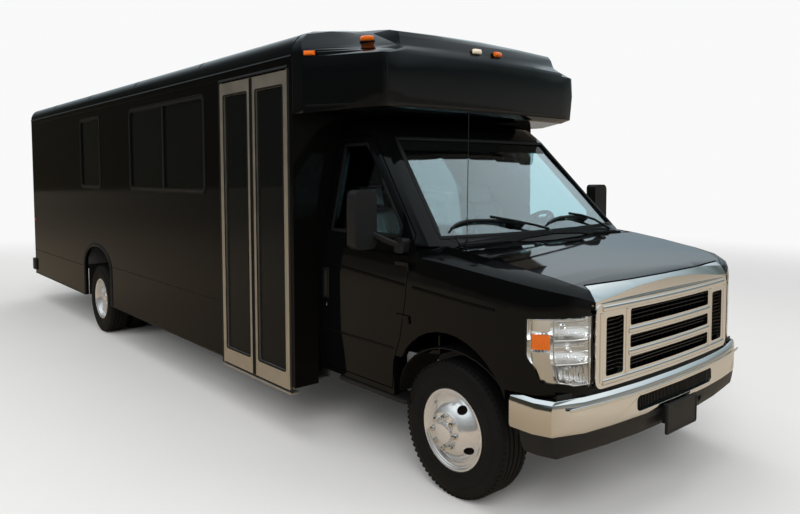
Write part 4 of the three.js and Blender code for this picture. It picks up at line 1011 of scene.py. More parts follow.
def behind(profile: Sequence[Point], thick: float) -> list[Point]:
    """The back of a thin turned sheet: its profile moved square to itself, in the other order.

    Args:
        profile: radius and offset of each place on its face, from the rim to the axle.
        thick: the sheet's thickness in mm.

    Returns:
        The places on its back, from the axle to the rim.
    """
    back = []
    for k, (radius, offset) in enumerate(profile):
        (r0, o0), (r1, o1) = profile[max(k - 1, 0)], profile[min(k + 1, len(profile) - 1)]
        size = math.hypot(r1 - r0, o1 - o0)
        back.append((max(radius - (o1 - o0) / size * thick, 0.0), offset + (r1 - r0) / size * thick))
    return back[::-1]


def placed(draft: Draft, matrix: Matrix) -> Draft:
    """A copy of a draft moved by a matrix."""
    return Draft([matrix @ v for v in draft.verts], list(draft.faces))


@dataclass(frozen=True)
class Lens:
    """A pad-shaped lens on a flat black base. Sizes in metres.

    Attributes:
        margin: how far the base reaches past the lens.
        base: where the base starts and ends, off the surface.
        thick: the lens's thickness.
        crown: how far its middle swells.
        lift: how far it stands off the surface.
        steps: cells along its width and height.
        sharp: degrees above which its edges stay sharp.
    """

    margin: float
    base: tuple[float, float]
    thick: float
    crown: float
    lift: float
    steps: tuple[int, int]
    sharp: float

    def build(self, name: str, base_name: str, turn: Matrix, size: Point, finish: Finish) -> None:
        """Builds one lens.

        Args:
            name: the lens's name.
            base_name: its base's name.
            turn: the matrix that takes it to its place.
            size: its width and height in mm.
            finish: its finish.
        """
        width, height = size[0] / 1000, size[1] / 1000
        u, v = width / 2 + self.margin, height / 2 + self.margin
        base = Draft().skin([[Vector((x, y, z)) for x, y in rounded(-u, u, -v, v, 0.012)] for z in self.base])
        publish(placed(base, turn), base_name, GLOSS_PLASTIC, bevel=2)
        lens = placed(cushion((width, height, self.thick), self.crown, steps=self.steps),
                      turn @ Matrix.Translation((0, 0, self.lift)))
        publish(lens, name, finish, sharp=self.sharp)


TAIL_LENS = Lens(0.008, (-0.002, 0.008), 0.02, 0.005, 0.01, (14, 10), 60)
CAP_LENS = Lens(0.006, (-0.004, 0.006), 0.026, 0.007, 0.012, (12, 8), 70)


# ---------------------------------------------------------------- wheels
@dataclass
class Wheels:
    """Tyres with ribs and shoulder lugs, chrome liners with lug nuts, and the barrels behind them.

    Sizes are in mm: offsets count outwards from the plane of the rim's outer flange.
    """

    radius: float = 370.0
    width: float = 223.0
    bead: float = 222.4
    flange_inset: float = 16.5
    wheelbase: float = 5300.0
    front_face: float = 975.0
    rear_face: float = 1172.0
    dual_spacing: float = 262.0
    lugs: int = 8
    lug_circle: float = 83.0
    holes: int = 4
    hole_circle: float = 150.0
    side_wall: tuple[Point, ...] = (
        (222.4, 14), (226, 9), (236, 6), (244, 6.5), (250, 3), (264, 1), (286, 0), (300, 0.6), (302, 2.4),
        (306, 2.4), (308, 1.2), (326, 6), (340, 12), (344, 12), (347, 16), (356, 21), (362, 27), (366, 33),
        (369, 38),
    )
    tread: tuple[Point, ...] = (
        (370, 42), (370, 56), (362, 57), (362, 64), (370, 65), (370, 88), (361, 89), (361, 97), (370, 98),
        (370, 111.5),
    )
    front_liner: tuple[Point, ...] = (
        (222, -6), (222.5, -1), (219, 2), (213, 2.5), (208, 0), (205, -5), (202, -7), (199, -7.5), (196, -12),
        (193, -14), (189, -15), (185, -22), (181, -29), (176, -32), (171, -29), (162, -17), (150, 1),
        (136, 20), (124, 32), (114, 40), (108, 45), (105, 48), (102, 49), (64, 49), (61, 50), (59.5, 54),
        (59, 62), (56, 69), (48, 73), (30, 75), (12, 76), (0, 76),
    )
    rear_liner: tuple[Point, ...] = (
        (222, -6), (222.5, -1), (219, 2), (213, 2.5), (208, 0), (205, -5), (202, -7), (197, -9), (193, -18),
        (187, -24), (181, -40), (176, -72), (170, -104), (164, -116), (154, -121), (140, -118), (124, -108),
        (112, -100), (106, -96), (102, -95), (66, -95), (63, -93), (61, -84), (60, -40), (57, -32), (50, -27),
        (30, -24), (0, -23),
    )

    barrel: tuple[Point, ...] = (
        (221, -7), (221, -14), (207, -22), (203, -30), (203, -176), (208, -182), (221, -184), (221, -190),
        (214, -189), (196, -176), (196, -30), (209, -14),
    )
    sheet: float = 2.0
    hole_size: tuple[float, float] = (17.0, 27.0)
    lug_blocks: int = 72

    def build(self) -> None:
        """Builds all the wheels."""
        for side, sign in SIDES.items():
            body = f"front_wheel_{side}"
            self._tyre(f"front_tyre_{side}", body, sign, self.front_face, 0.0)
            self._rim(f"front_rim_{side}", body, sign, self.front_face, 0.0, self.front_liner, 49.0, -28.0)
            body = f"rear_wheels_{side}"
            inner = self.rear_face - self.dual_spacing
            self._tyre(f"rear_tyre_outer_{side}", body, sign, self.rear_face, self.wheelbase)
            self._tyre(f"rear_tyre_inner_{side}", body, sign, inner, self.wheelbase)
            self._rim(f"rear_rim_{side}", body, sign, self.rear_face, self.wheelbase, self.rear_liner, -95.0,
                      -110.0)

    def _lathe(self, profile: Sequence[Point], sign: float, plane: float, y: float, steps: int) -> Draft:
        """Turns a profile of radius and outward offset about a wheel's axle."""
        turned = [(r, sign * o) for r, o in profile]
        return Draft().turned(turned, "x", (sign * plane, y, self.radius), steps, looped=True)

    def _out(self, sign: float, plane: float, offset: float, y: float) -> Matrix:
        """The matrix of a pattern on a wheel's face, at an offset from the flange's plane."""
        return facing(spot(sign * (plane + offset), y, self.radius), Vector((0, 1, 0)), Vector((sign, 0, 0)))

    def _tyre(self, node: str, body: str, sign: float, face: float, y: float) -> None:
        """One tyre, with its shoulder lugs.

        Args:
            node: the tyre's CAD node.
            body: the body that it turns with.
            sign: the side, 1 for the left.
            face: how far out the tyre's face is.
            y: the axle's place.
        """
        half = [*self.side_wall, *self.tread]
        outer = [(r, -o) for r, o in half]
        inner = [(r, -(self.width - o)) for r, o in reversed(half[:-1])]
        casing = self._lathe([*outer, *inner, (self.bead, -self.width + 14), (self.bead, -14)], sign, face, y,
                             96)
        tyre = publish(casing, f"{node}_casing", TYRE_RUBBER, body, 32)
        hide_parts(node)
        for name, offset in (("outer", -30.0), ("inner", 30.0 - self.width)):
            block = placed(shape_at(0.012, 0.017, 0.019), Matrix.Rotation(math.radians(-18 if name == "outer"
                                                                                       else 18), 4, "Y"))
            ring = Repeat(Pattern.RING, self.lug_blocks, 0.3615, self._out(sign, face, offset, y))
            publish(ring.build(block), f"{node}_lugs_{name}", TYRE_RUBBER, body)

    def _rim(self, node: str, body: str, sign: float, face: float, y: float, liner: Sequence[Point],
             nut_plane: float, hole_plane: float) -> None:
        """One chrome liner with its hand holes and nuts, and the steel barrel that it covers.

        Args:
            node: the rim's CAD node.
            body: the body that it turns with.
            sign: the side, 1 for the left.
            face: how far out the tyre's face is.
            y: the axle's place.
            liner: the liner's profile, from the rim to the axle.
            nut_plane: where the nuts sit, outwards from the flange's plane.
            hole_plane: where the hand holes are, outwards from the flange's plane.
        """
        plane = face - self.flange_inset
        shell = self._lathe([*liner, *behind(liner, self.sheet)], sign, plane, y, 72)
        holes = Draft()
        for k in range(self.holes):
            turn = 2 * math.pi * (k + 0.35) / self.holes
            ring = [(self.hole_size[0] * u, self.hole_size[1] * v) for u, v in circle(20)]
            ends = []
            for offset in (hole_plane - 20, hole_plane + 70):
                ends.append([spot(sign * (plane + offset),
                                  y + (self.hole_circle + u) * math.cos(turn) - v * math.sin(turn),
                                  self.radius + (self.hole_circle + u) * math.sin(turn) + v * math.cos(turn))
                             for u, v in ring])
            holes.skin(ends)
        chrome = publish(carved(shell, holes, f"{node}_liner", 40), f"{node}_liner", DULL_CHROME, body)
        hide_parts(node)
        nuts = Repeat(Pattern.RING, self.lugs, self.lug_circle / 1000, self._out(sign, plane, nut_plane, y))
        publish(nuts.build(self._nut(), 40), f"{node}_nuts", CHROME, body)
        deep = [(195, hole_plane - 44), (195, hole_plane - 52), (60, hole_plane - 52), (0, hole_plane - 52),
                (0, hole_plane - 44)]
        steel = self._lathe(self.barrel, sign, plane, y, 72).joined(self._lathe(deep, sign, plane, y, 40))
        if "rear" in node:
            steel.joined(self._lathe(self.barrel, sign, plane - self.dual_spacing, y, 72))
            hub = [(0, -120), (110, -120), (110, -self.dual_spacing - 60), (196, -self.dual_spacing - 70),
                   (196, -self.dual_spacing - 90), (90, -self.dual_spacing - 90),
                   (90, -self.dual_spacing - 170), (0, -self.dual_spacing - 170)]
            steel.joined(self._lathe(hub, sign, plane, y, 40))
        publish(steel, f"{node}_barrel", FRAME_STEEL, body)

    def _nut(self) -> Draft:
        """A domed lug nut cover, in metres.

        Returns:
            The cover.
        """
        outline = ((0.0165, 0.0), (0.0165, 0.004), (0.0135, 0.006), (0.0132, 0.02), (0.011, 0.0255),
                   (0.006, 0.028), (0.00002, 0.0285))
        return stud(outline, 14)


# ---------------------------------------------------------------- coach body
@dataclass
class CoachTrim:
    """Gutters, seams, window frames, arch flares, lamps and the folding door's rubbers. Sizes in mm."""

    half: float = 1190.0
    front: float = 1204.0
    rear: float = 8120.0
    gutter: float = 2500.0
    wheelbase: float = 5300.0
    arch: tuple[float, float, float] = (470.0, 720.0, 970.0)
    windows: tuple[tuple[str, float, float], ...] = (("narrow", 5097, 5803), ("slider", 2499, 4186))
    window_levels: tuple[float, float] = (1594.0, 2364.0)
    entry: tuple[float, float, float, float] = (1262.0, 2217.0, 326.0, 2411.0)
    skirt: float = 358.0
    skirt_seams: tuple[float, float] = (775.0, 690.0)
    marker: tuple[float, float] = (8035.0, 1116.0)
    roof_seams: tuple[float, ...] = (1210, 2650, 4100, 5550, 7000, 8110)
    hatch: tuple[tuple[float, ...], tuple[float, ...]] = ((-310, -160, 0, 160, 310),
                                                          (4500, 4650, 4800, 4950, 5100))

    def build(self, nodes: Nodes) -> None:
        """Builds the coach's trim.

        Args:
            nodes: the CAD nodes by name.
        """
        roof = Shell(nodes, "coach_roof")
        for side, sign in SIDES.items():
            self._side(side, sign)
            self._windows(side, sign)
            self._arch(side, sign)
        self._roof(roof)
        self._entry_door()
        self._rear(Shell(nodes, "rear_wall", "rear_door"))

    def _on_side(self, sign: float, points: Sequence[Point]) -> Lane:
        """Places on a side wall from pairs of y and z."""
        return flat_lane([(sign * self.half, y, z) for y, z in points], (sign, 0, 0))

    def _side(self, side: str, sign: float) -> None:
        """The gutter, the seams of the side panels and the side marker.

        Args:
            side: right or left, as in the node names.
            sign: the sign of x on that side.
        """
        def strip(name: str, points: Sequence[Point], width: float, height: float, finish: Finish,
                  section: Section = Section.FLAT) -> None:
            """One straight strip on the wall."""
            publish(moulding(self._on_side(sign, points), width, height, section), f"{name}_{side}", finish)

        ends = (self.front + 3, self.rear - 3)
        strip("gutter_rail", [(ends[0], self.gutter - 6), (ends[1], self.gutter - 6)], 14, 7, GLOSS_PLASTIC,
              Section.LIP)
        strip("roof_edge_trim", [(ends[0], self.gutter - 52), (ends[1], self.gutter - 52)], 9, 3, BLACK_PAINT)
        arch_front, arch_rear = self.wheelbase - 500, self.wheelbase + 500
        door_end = self.entry[1] + 12 if sign < 0 else ends[0]
        for name, y0, y1, z in (("front_skirt_seam", door_end, arch_front, self.skirt_seams[0]),
                                ("rear_skirt_seam", arch_rear, ends[1], self.skirt_seams[1])):
            strip(name, [(y0, z), (y1, z)], 7, 1.6, SEAL_RUBBER)
        for name, y0, y1 in (("skirt_edge", door_end, arch_front + 26),
                             ("skirt_edge_rear", arch_rear - 26, ends[1])):
            strip(name, [(y0, self.skirt), (y1, self.skirt)], 12, 3, BLACK_PLASTIC)
        at = spot(sign * (self.half + 1), *self.marker)
        lamp = facing(at, Vector((0, 1, 0)), Vector((sign, 0, 0)))
        publish(placed(cushion((0.06, 0.028, 0.014), 0.004), lamp), f"side_marker_{side}", RED_LENS,
                sharp=60)

    def _windows(self, side: str, sign: float) -> None:
        """Frames, rubbers and slider rails of the side windows.

        Args:
            side: right or left, as in the node names.
            sign: the sign of x on that side.
        """
        low, high = self.window_levels
        for name, y0, y1 in self.windows:
            for kind, by, width, height, finish in (("rubber", -3, 12, 5, SEAL_RUBBER),
                                                    ("frame", 16, 20, 3.5, BLACK_PLASTIC),
                                                    ("bead", 30, 4, 3.8, GLOSS_PLASTIC)):
                loop = rounded(y0 + by, y1 - by, low + by, high - by, max(60 - by, 8), 6)
                strip = moulding(self._on_side(sign, loop), width, height, Section.FLAT, closed=True)
                publish(strip, f"window_{name}_{kind}_{side}", finish)
            if name == "slider":
                middle = (y0 + y1) / 2
                rail = moulding(self._on_side(sign, [(middle, low + 36), (middle, high - 36)]), 34, 4,
                                Section.FLAT)
                publish(rail, f"window_meeting_rail_{side}", BLACK_PLASTIC)
                latch = Draft().box((sign * 1186, sign * 1198), (middle + 22, middle + 50), (1960, 2020))
                publish(latch, f"window_latch_{side}", GLOSS_PLASTIC, bevel=3)

    def _arch(self, side: str, sign: float) -> None:
        """The rubber flare round the rear wheels.

        Args:
            side: right or left, as in the node names.
            sign: the sign of x on that side.
        """
        half, spring, top = self.arch
        points = [(self.wheelbase + half, 356), (self.wheelbase + half, 500), (self.wheelbase + half, 640)]
        points += [(self.wheelbase + half * math.cos(a), spring + (top - spring) * math.sin(a))
                   for a in (math.pi * k / 22 for k in range(23))]
        points += [(self.wheelbase - half, 640), (self.wheelbase - half, 500), (self.wheelbase - half, 356)]
        publish(moulding(self._on_side(sign, points), 42, 11), f"arch_flare_{side}", BLACK_PLASTIC)

    def _roof(self, roof: Shell) -> None:
        """Seams across the roof, and the hatch.

        Args:
            roof: the roof's surface.
        """
        for k, y in enumerate(self.roof_seams):
            xs = [self.half * math.sin(math.radians(a)) * 0.985 for a in range(-84, 85, 12)]
            path = roof.trace([(x, y, ABOVE) for x in xs], (0, 0, -1), 2)
            publish(moulding(path, 16, 2.2, Section.FLAT), f"roof_seam_{k}", BLACK_PAINT)
        rows = [[roof.land(spot(x, y, ABOVE), (0, 0, -1)) for x in self.hatch[0]] for y in self.hatch[1]]
        publish(patch(rows, 9, 12), "roof_hatch", GLOSS_PLASTIC, bevel=4)

    def _entry_door(self) -> None:
        """Rubbers and the sill of the folding door."""
        front, rear, low, high = self.entry
        middle = (front + rear) / 2
        for leaf, y in (("front", middle - 11), ("rear", middle + 11)):
            edge = Draft().prism(rounded(-1200, -1158, y - 7, y + 7, 5, 3), "z", low + 4, high - 4)
            publish(edge, f"door_edge_rubber_{leaf}", SEAL_RUBBER, f"entry_leaf_{leaf}")
            y0, y1 = (front, middle - 5) if leaf == "front" else (middle + 5, rear)
            loop = rounded(y0 + 56, y1 - 56, low + 114, high - 90, 14, 4)
            seal = flat_lane([(-self.half - 4, y, z) for y, z in loop], (-1, 0, 0))
            publish(moulding(seal, 13, 4, closed=True), f"door_glass_rubber_{leaf}", SEAL_RUBBER,
                    f"entry_leaf_{leaf}")
            brush = Draft().box((-1190, -1168), (y0 + 6, y1 - 6), (low - 14, low + 2))
            publish(brush, f"door_sweep_{leaf}", SEAL_RUBBER, f"entry_leaf_{leaf}", bevel=1.5)
        sill = Draft().box((-1196, -1130), (front - 12, rear + 12), (296, 310))
        publish(sill, "entry_sill", SILVER_FRAME, bevel=3)
        for name, y in (("front", front - 17), ("rear", rear + 17)):
            post = moulding(self._on_side(-1, [(y, 312), (y, high + 10)]), 16, 3, Section.FLAT)
            publish(post, f"entry_post_trim_{name}", BLACK_PLASTIC)
        rail = moulding(self._on_side(-1, [(front - 10, high + 20), (rear + 10, high + 20)]), 20, 14,
                        Section.LIP)
        publish(rail, "entry_drip_rail", BLACK_PLASTIC)

    def _rear(self, wall: Shell) -> None:
        """The lamps, the handle, the blank plate and the bumper's tread at the back.

        Args:
            wall: the surface of the rear wall and its door.
        """
        def lamp(name: str, x: float, z: float, size: Point, finish: Finish) -> None:
            """A lens on a black rim."""
            place, normal = wall.land(spot(x, BEHIND, z), (0, -1, 0))
            TAIL_LENS.build(name, f"{name}_rim", facing(place, Vector((1, 0, 0)), normal), size, finish)

        for side, sign in SIDES.items():
            for name, z, finish in (("turn", 1150, AMBER_LENS), ("stop", 1010, RED_LENS),
                                    ("reverse", 870, PALE_LENS)):
                lamp(f"{name}_lamp_{side}", sign * 1010, z, (170, 105), finish)
            lamp(f"high_turn_lamp_{side}", sign * 1030, 2390, (110, 60), AMBER_LENS)
            lamp(f"clearance_lamp_{side}", sign * 860, 2560, (64, 28), RED_LENS)
        for k, x in enumerate((-160, 0, 160)):
            lamp(f"clearance_lamp_middle_{k}", x, 2590, (64, 28), RED_LENS)
        lamp("high_stop_lamp", 0, 2440, (260, 44), RED_LENS)
        plate = Draft().box((-152, 152), (8121, 8125), (1010, 1162))
        publish(plate, "rear_plate", SILVER_FRAME, "rear_door", bevel=1.5)
        for k, x in enumerate((-90, 90)):
            lens = Draft().box((x - 26, x + 26), (8121, 8140), (1172, 1192))
            publish(lens, f"plate_lamp_{k}", BLACK_PLASTIC, "rear_door", bevel=4)
        seal = flat_lane([(x, 8121, z) for x, z in rounded(-284, 284, 1556, 2184, 54, 6)], (0, 1, 0))
        publish(moulding(seal, 20, 7, closed=True), "rear_window_rubber", SEAL_RUBBER, "rear_door")
        grip = Draft().pipe([spot(345, 8121, 1330), spot(345, 8160, 1340), spot(345, 8164, 1400),
                             spot(345, 8160, 1460), spot(345, 8121, 1470)], 9)
        publish(grip, "rear_door_grip", CHROME, "rear_door")
        lock = Draft().turned([(0, 14), (16, 14), (20, 10), (20, 0)], "y", (345, 8121, 1270), 20, caps=True)
        publish(lock, "rear_door_lock", CHROME, "rear_door")
        tread = Repeat(Pattern.ROW, 46, 0.048, Matrix.Translation(spot(-1080, 8167, 561)))
        publish(tread.build(shape_at(0.016, 0.07, 0.005)), "bumper_tread", BLACK_PLASTIC)


# ---------------------------------------------------------------- front cap
@dataclass
class CapTrim:
    """Clearance lamps and seams of the moulded cap over the cab. Sizes in mm."""

    small: tuple[float, float] = (72.0, 26.0)
    big: tuple[float, float] = (84.0, 24.0)

    def build(self, nodes: Nodes) -> None:
        """Builds the lamps and seams.

        Args:
            nodes: the CAD nodes by name.
        """
        cap = Shell(nodes, "front_cap")
        for name, x, z, finish in (("middle", 26, 2540, AMBER_LENS), ("inner_right", -166, 2540, PALE_LENS)):
            self._lamp(cap, name, (x, 0, z), (0, 1, 0), (1, 0, 0), self.small, finish)
        for side, sign in SIDES.items():
            self._lamp(cap, f"corner_{side}", (sign * 850, 860, 2900), (0, 0, -1), (sign, 0.8, 0), self.big,
                       AMBER_LENS)
            self._lamp(cap, f"side_{side}", (sign * 1500, 1040, 2488), (-sign, 0, 0), (0, 1, 0), self.small,
                       AMBER_LENS)
            joint = cap.trace([(sign * 1500, 1196, z) for z in (2140, 2300, 2490)], (-sign, 0, 0), 4)
            publish(moulding(joint, 6, 1.6, Section.FLAT), f"cap_joint_{side}", SEAL_RUBBER)
            face = cap.trace([(sign * 905, 0, z) for z in (2160, 2300, 2455)], (0, 1, 0), 5)
            publish(moulding(face, 5, 1.2, Section.FLAT), f"cap_panel_seam_{side}", SEAL_RUBBER)
        lip = cap.trace([(x, 0, 2168) for x in (-850, -425, 0, 425, 850)], (0, 1, 0), 6)
        publish(moulding(lip, 14, 4, Section.LIP), "cap_lower_lip", GLOSS_PLASTIC)
        for side, sign in SIDES.items():
            wing = cap.trace([(sign * 1500, y, 2168) for y in (720, 900, 1060)], (-sign, 0, 0), 5)
            publish(moulding(wing, 14, 4, Section.LIP), f"cap_lower_lip_{side}", GLOSS_PLASTIC)

    def _lamp(self, cap: Shell, name: str, start: Point, along: Point, level: Point, size: Point,
              finish: Finish) -> None:
        """One clearance lamp, laid on the cap.

        Args:
            cap: the cap's surface.
            name: the lamp's name.
            start: where the line to its place starts.
            along: the line's direction.
            level: the direction of its long side.
            size: its width and height.
            finish: its lens's finish.
        """
        place, normal = cap.land(spot(*start), along)
        CAP_LENS.build(f"cap_lamp_{name}", f"cap_lamp_{name}_base", facing(place, Vector(level), normal),
                       size, finish)


# ---------------------------------------------------------------- cab
@dataclass
class Cab:
    """Wipers, aerial, cowl, handles, creases, rubbers and mirror glass of the cab. Sizes in mm."""

    screen: tuple[float, float, float, float] = (1386.0, 1966.0, 846.0, 722.0)
    side_glass: tuple[Point, ...] = ((430, 1392), (1086, 1392), (1086, 1926), (866, 1926), (430, 1450))
    crease: tuple[Point, Point] = ((-40, 1094), (1150, 1176))
    low_crease: float = 740.0
    mirror: tuple[float, float, float, float] = (1158.0, 558.0, 1318.0, 1655.0)
    wipers: tuple[tuple[str, Point, Sequence[Point], Sequence[Point]], ...] = (
        ("right", (-34, 72, 1378), ((-150, 1408), (-284, 1436), (-440, 1470)),
         ((-205, 1424), (-330, 1445), (-440, 1456), (-540, 1460), (-624, 1458), (-700, 1442), (-752, 1420))),
        ("left", (669, 92, 1342), ((560, 1406), (430, 1440), (300, 1462)),
         ((500, 1424), (400, 1440), (300, 1450), (180, 1448), (90, 1438), (8, 1420))),
    )
    aerial: tuple[Point, Point] = ((-728, 112, 1336), (-700, 128, 2080))

    def build(self, nodes: Nodes) -> None:
        """Builds the cab's details.

        Args:
            nodes: the CAD nodes by name.
        """
        glass = Shell(nodes, "windshield")
        body = Shell(nodes, "cab_body", "windshield")
        self._screen(glass, body)
        self._wipers(glass)
        self._cowl(Shell(nodes, "cab_body"), Shell(nodes, "hood"))
        for side, sign in SIDES.items():
            self._door(side, sign, Shell(nodes, f"cab_door_{side}", f"cab_door_glass_{side}"))
            self._fender(side, sign, Shell(nodes, f"fender_{side}"))
            self._mirror(side, sign)

    def _screen(self, glass: Shell, body: Shell) -> None:
        """The rubber round the windshield and its shaded top band.

        Args:
            glass: the windshield's surface.
            body: the surface of the cab and the windshield.
        """
        low, high, wide, narrow = self.screen
        corners = [(-wide - 2, AHEAD, low - 2), (wide + 2, AHEAD, low - 2), (narrow + 2, AHEAD, high + 2),
                   (-narrow - 2, AHEAD, high + 2)]
        path = body.trace(corners, (0, 1, 0), 12, closed=True)
        publish(moulding(path, 30, 7, closed=True), "windshield_rubber", SEAL_RUBBER)
        rows = []
        for z in (high - 74, high - 50, high - 26, high - 8):
            reach = narrow + (wide - narrow) * (high - z) / (high - low) - 14
            rows.append([glass.land(spot(reach * k / 12, AHEAD, z), (0, 1, 0)) for k in range(-12, 13)])
        publish(patch(rows, 1.2, 1.0), "windshield_shade_band", DARK_GLASS)

    def _wipers(self, glass: Shell) -> None:
        """Two wipers, parked low on the glass, and their pivots.

        Args:
            glass: the windshield's surface.
        """
        def on_glass(x: float, z: float, off: float) -> Vector:
            """A place above the glass."""
            place, normal = glass.land(spot(x, AHEAD, z), (0, 1, 0))
            return place + normal * off / 1000

        for name, pivot, elbow, blade in self.wipers:
            lane = [glass.land(spot(x, AHEAD, z), (0, 1, 0)) for x, z in blade]
            publish(moulding(lane, 8, 9), f"wiper_rubber_{name}", SEAL_RUBBER)
            raised = [(p + n * 0.012, n) for p, n in lane]
            publish(moulding(raised, 12, 9, Section.FLAT), f"wiper_blade_{name}", BLACK_PLASTIC)
            arm = [spot(*pivot), spot(pivot[0], pivot[1] + 4, pivot[2] + 22)]
            arm += [on_glass(x, z, 30) for x, z in elbow[:-1]] + [on_glass(*elbow[-1], 24)]
            publish(Draft().pipe(arm, 8, 8), f"wiper_arm_{name}", GLOSS_PLASTIC)
            cap = [(18, -14), (18, 4), (15, 12), (8, 17), (0, 18)]
            publish(Draft().turned(cap, "z", pivot, 20, caps=True), f"wiper_pivot_{name}", GLOSS_PLASTIC)
        base, tip = (spot(*end) for end in self.aerial)
        rod = [base + (tip - base) * k / 6 for k in range(7)]
        publish(Draft().pipe(rod, 2.2, 8), "aerial", BLACK_PLASTIC)
        foot = [(22, -22), (22, 4), (15, 12), (7, 30), (3, 46), (0, 47)]
        publish(Draft().turned(foot, "z", self.aerial[0], 20, caps=True), "aerial_foot", SEAL_RUBBER)

    def _cowl(self, body: Shell, hood: Shell) -> None:
        """The grid in front of the windshield, and the washer jets.

        Args:
            body: the cab's surface.
            hood: the hood's surface.
        """
        rows = []
        for share in (0.0, 0.25, 0.5, 0.75, 1.0):
            row = []
            for k in range(-14, 15):
                x = 760 * k / 14
                rear = glass_foot(x)
                row.append(body.land(spot(x, 62 + (rear - 62) * share, OVER_HOOD), (0, 0, -1)))
            rows.append(row)
        publish(patch(rows, 4, 6), "cowl_grid", BLACK_PLASTIC)
        bars = [facing(p + n * 0.006, Vector((1, 0, 0)), n) for row in rows[:-1] for p, n in finer(row, 5)]
        publish(Scatter(bars).build(shape_at(0.003, 0.018, 0.006)), "cowl_grid_bars", BLACK_PLASTIC)
        for name, x in (("right", -330), ("left", 330)):
            place, normal = hood.land(spot(x, -75, OVER_HOOD), (0, 0, -1))
            jet = cushion((0.042, 0.024, 0.016), 0.004, steps=(8, 6))
            publish(placed(jet, facing(place, Vector((1, 0, 0)), normal)), f"washer_jet_{name}",
                    BLACK_PLASTIC, "hood", sharp=60)

    def _door(self, side: str, sign: float, shell: Shell) -> None:
        """One door's crease, window rubbers, handle, lock and step.

        Args:
            side: right or left, as in the node names.
            sign: the sign of x on that side.
            shell: the surface of the door and its glass.
        """
        out, inward = BESIDE * sign, (-sign, 0, 0)
        door = f"cab_door_{side}"

        def line(points: Sequence[Point], steps: int = 6) -> Lane:
            """A line of pairs of y and z on the door's skin."""
            return shell.trace([(out, y, z) for y, z in points], inward, steps)

        (y0, z0), (y1, z1) = self.crease
        lift = (z1 - z0) / (y1 - y0)
        publish(moulding(line([(330, z0 + (330 - y0) * lift), (1140, z1)], 14), 20, 3.2),
                f"door_crease_{side}", BLACK_PAINT, door, sharp=60)
        publish(moulding(line([(430, self.low_crease), (1140, self.low_crease)], 14), 16, 2.4),
                f"door_low_crease_{side}", BLACK_PAINT, door, sharp=60)
        middle = (780, 1650)
        loop = [(y + math.copysign(9, y - middle[0]), z + math.copysign(8, z - middle[1]))
                for y, z in self.side_glass]
        path = shell.trace([(out, y, z) for y, z in loop], inward, 8, closed=True)
        publish(moulding(path, 22, 5, closed=True), f"door_window_rubber_{side}", SEAL_RUBBER, door)
        cup = [[shell.land(spot(out, 1108 + 34 * u, 1040 + 98 * v), inward) for u in (-1, -0.6, 0, 0.6, 1)]
               for v in (-1, -0.85, -0.4, 0, 0.4, 0.85, 1)]
        publish(patch(cup, 3, 5), f"handle_cup_{side}", BLACK_PLASTIC, door, bevel=2)
        pull = [(p + n * 0.004, n) for p, n in line([(1102, 958), (1102, 1122)], 8)]
        publish(moulding(pull, 30, 15), f"handle_{side}", GLOSS_PLASTIC, door, sharp=60)
        key, normal = shell.land(spot(out, 1108, 900), inward)
        lock = knob_at(0.013, 0.005, 20)
        publish(placed(lock, facing(key, Vector((0, 1, 0)), normal)), f"door_lock_{side}", CHROME, door)
        step = Draft().prism(rounded(sign * 930 - 72, sign * 930 + 72, 330, 985, 20, 4), "z", 428, 454)
        publish(step, f"running_board_{side}", BLACK_PLASTIC, bevel=4)
        ribs = Repeat(Pattern.ROW, 26, 0.024, Matrix.Translation(spot(sign * 930, 355, 456))
                      @ Matrix.Rotation(math.pi / 2, 4, "Z"))
        publish(ribs.build(shape_at(0.009, 0.11, 0.004)), f"running_board_ribs_{side}", BLACK_PLASTIC)

    def _fender(self, side: str, sign: float, shell: Shell) -> None:
        """The creases that run on over a front fender.

        Args:
            side: right or left, as in the node names.
            sign: the sign of x on that side.
            shell: the fender's surface.
        """
        out, inward = BESIDE * sign, (-sign, 0, 0)
        (y0, z0), (y1, z1) = self.crease
        lift = (z1 - z0) / (y1 - y0)
        path = shell.trace([(out, -330, z0 - 290 * lift), (out, 262, z0 + (262 - y0) * lift)], inward, 12)
        publish(moulding(path, 20, 3.2), f"fender_crease_{side}", BLACK_PAINT, sharp=60)

    def _mirror(self, side: str, sign: float) -> None:
        """A mirror's flat glass and, under it, its wide-angle glass.

        Args:
            side: right or left, as in the node names.
            sign: the sign of x on that side.
        """
        x, back, low, high = self.mirror
        for name, z0, z1 in (("glass", low + 84, high - 12), ("wide_glass", low + 12, low + 74)):
            outline = rounded(sign * x - 66, sign * x + 66, z0, z1, 16, 5)
            publish(Draft().prism(outline, "y", back - 1, back + 2), f"mirror_{name}_{side}", MIRROR_GLASS,
                    f"cab_door_{side}")
        outline = rounded(sign * x - 73, sign * x + 73, low + 5, high - 5, 22, 5)
        path = flat_lane([(u, back, v) for u, v in outline], (0, 1, 0))
        publish(moulding(path, 9, 5, closed=True), f"mirror_rim_{side}", GLOSS_PLASTIC, f"cab_door_{side}")


def glass_foot(x: float) -> float:
    """How far back the windshield's foot is at a place across the cab, in mm."""
    return 96 + 150 * abs(x / 846) ** 2.6


def flat_lane(points: Sequence[Point], normal: Point) -> Lane:
    """Points in mm as a lane whose normal is the same all along."""
    return [(spot(*p), Vector(normal)) for p in points]


def finer(row: Lane, steps: int) -> Lane:
    """A row of places and normals cut into smaller steps."""
    return [(a[0].lerp(b[0], k / steps), a[1].lerp(b[1], k / steps).normalized())
            for a, b in zip(row, row[1:]) for k in range(steps)]


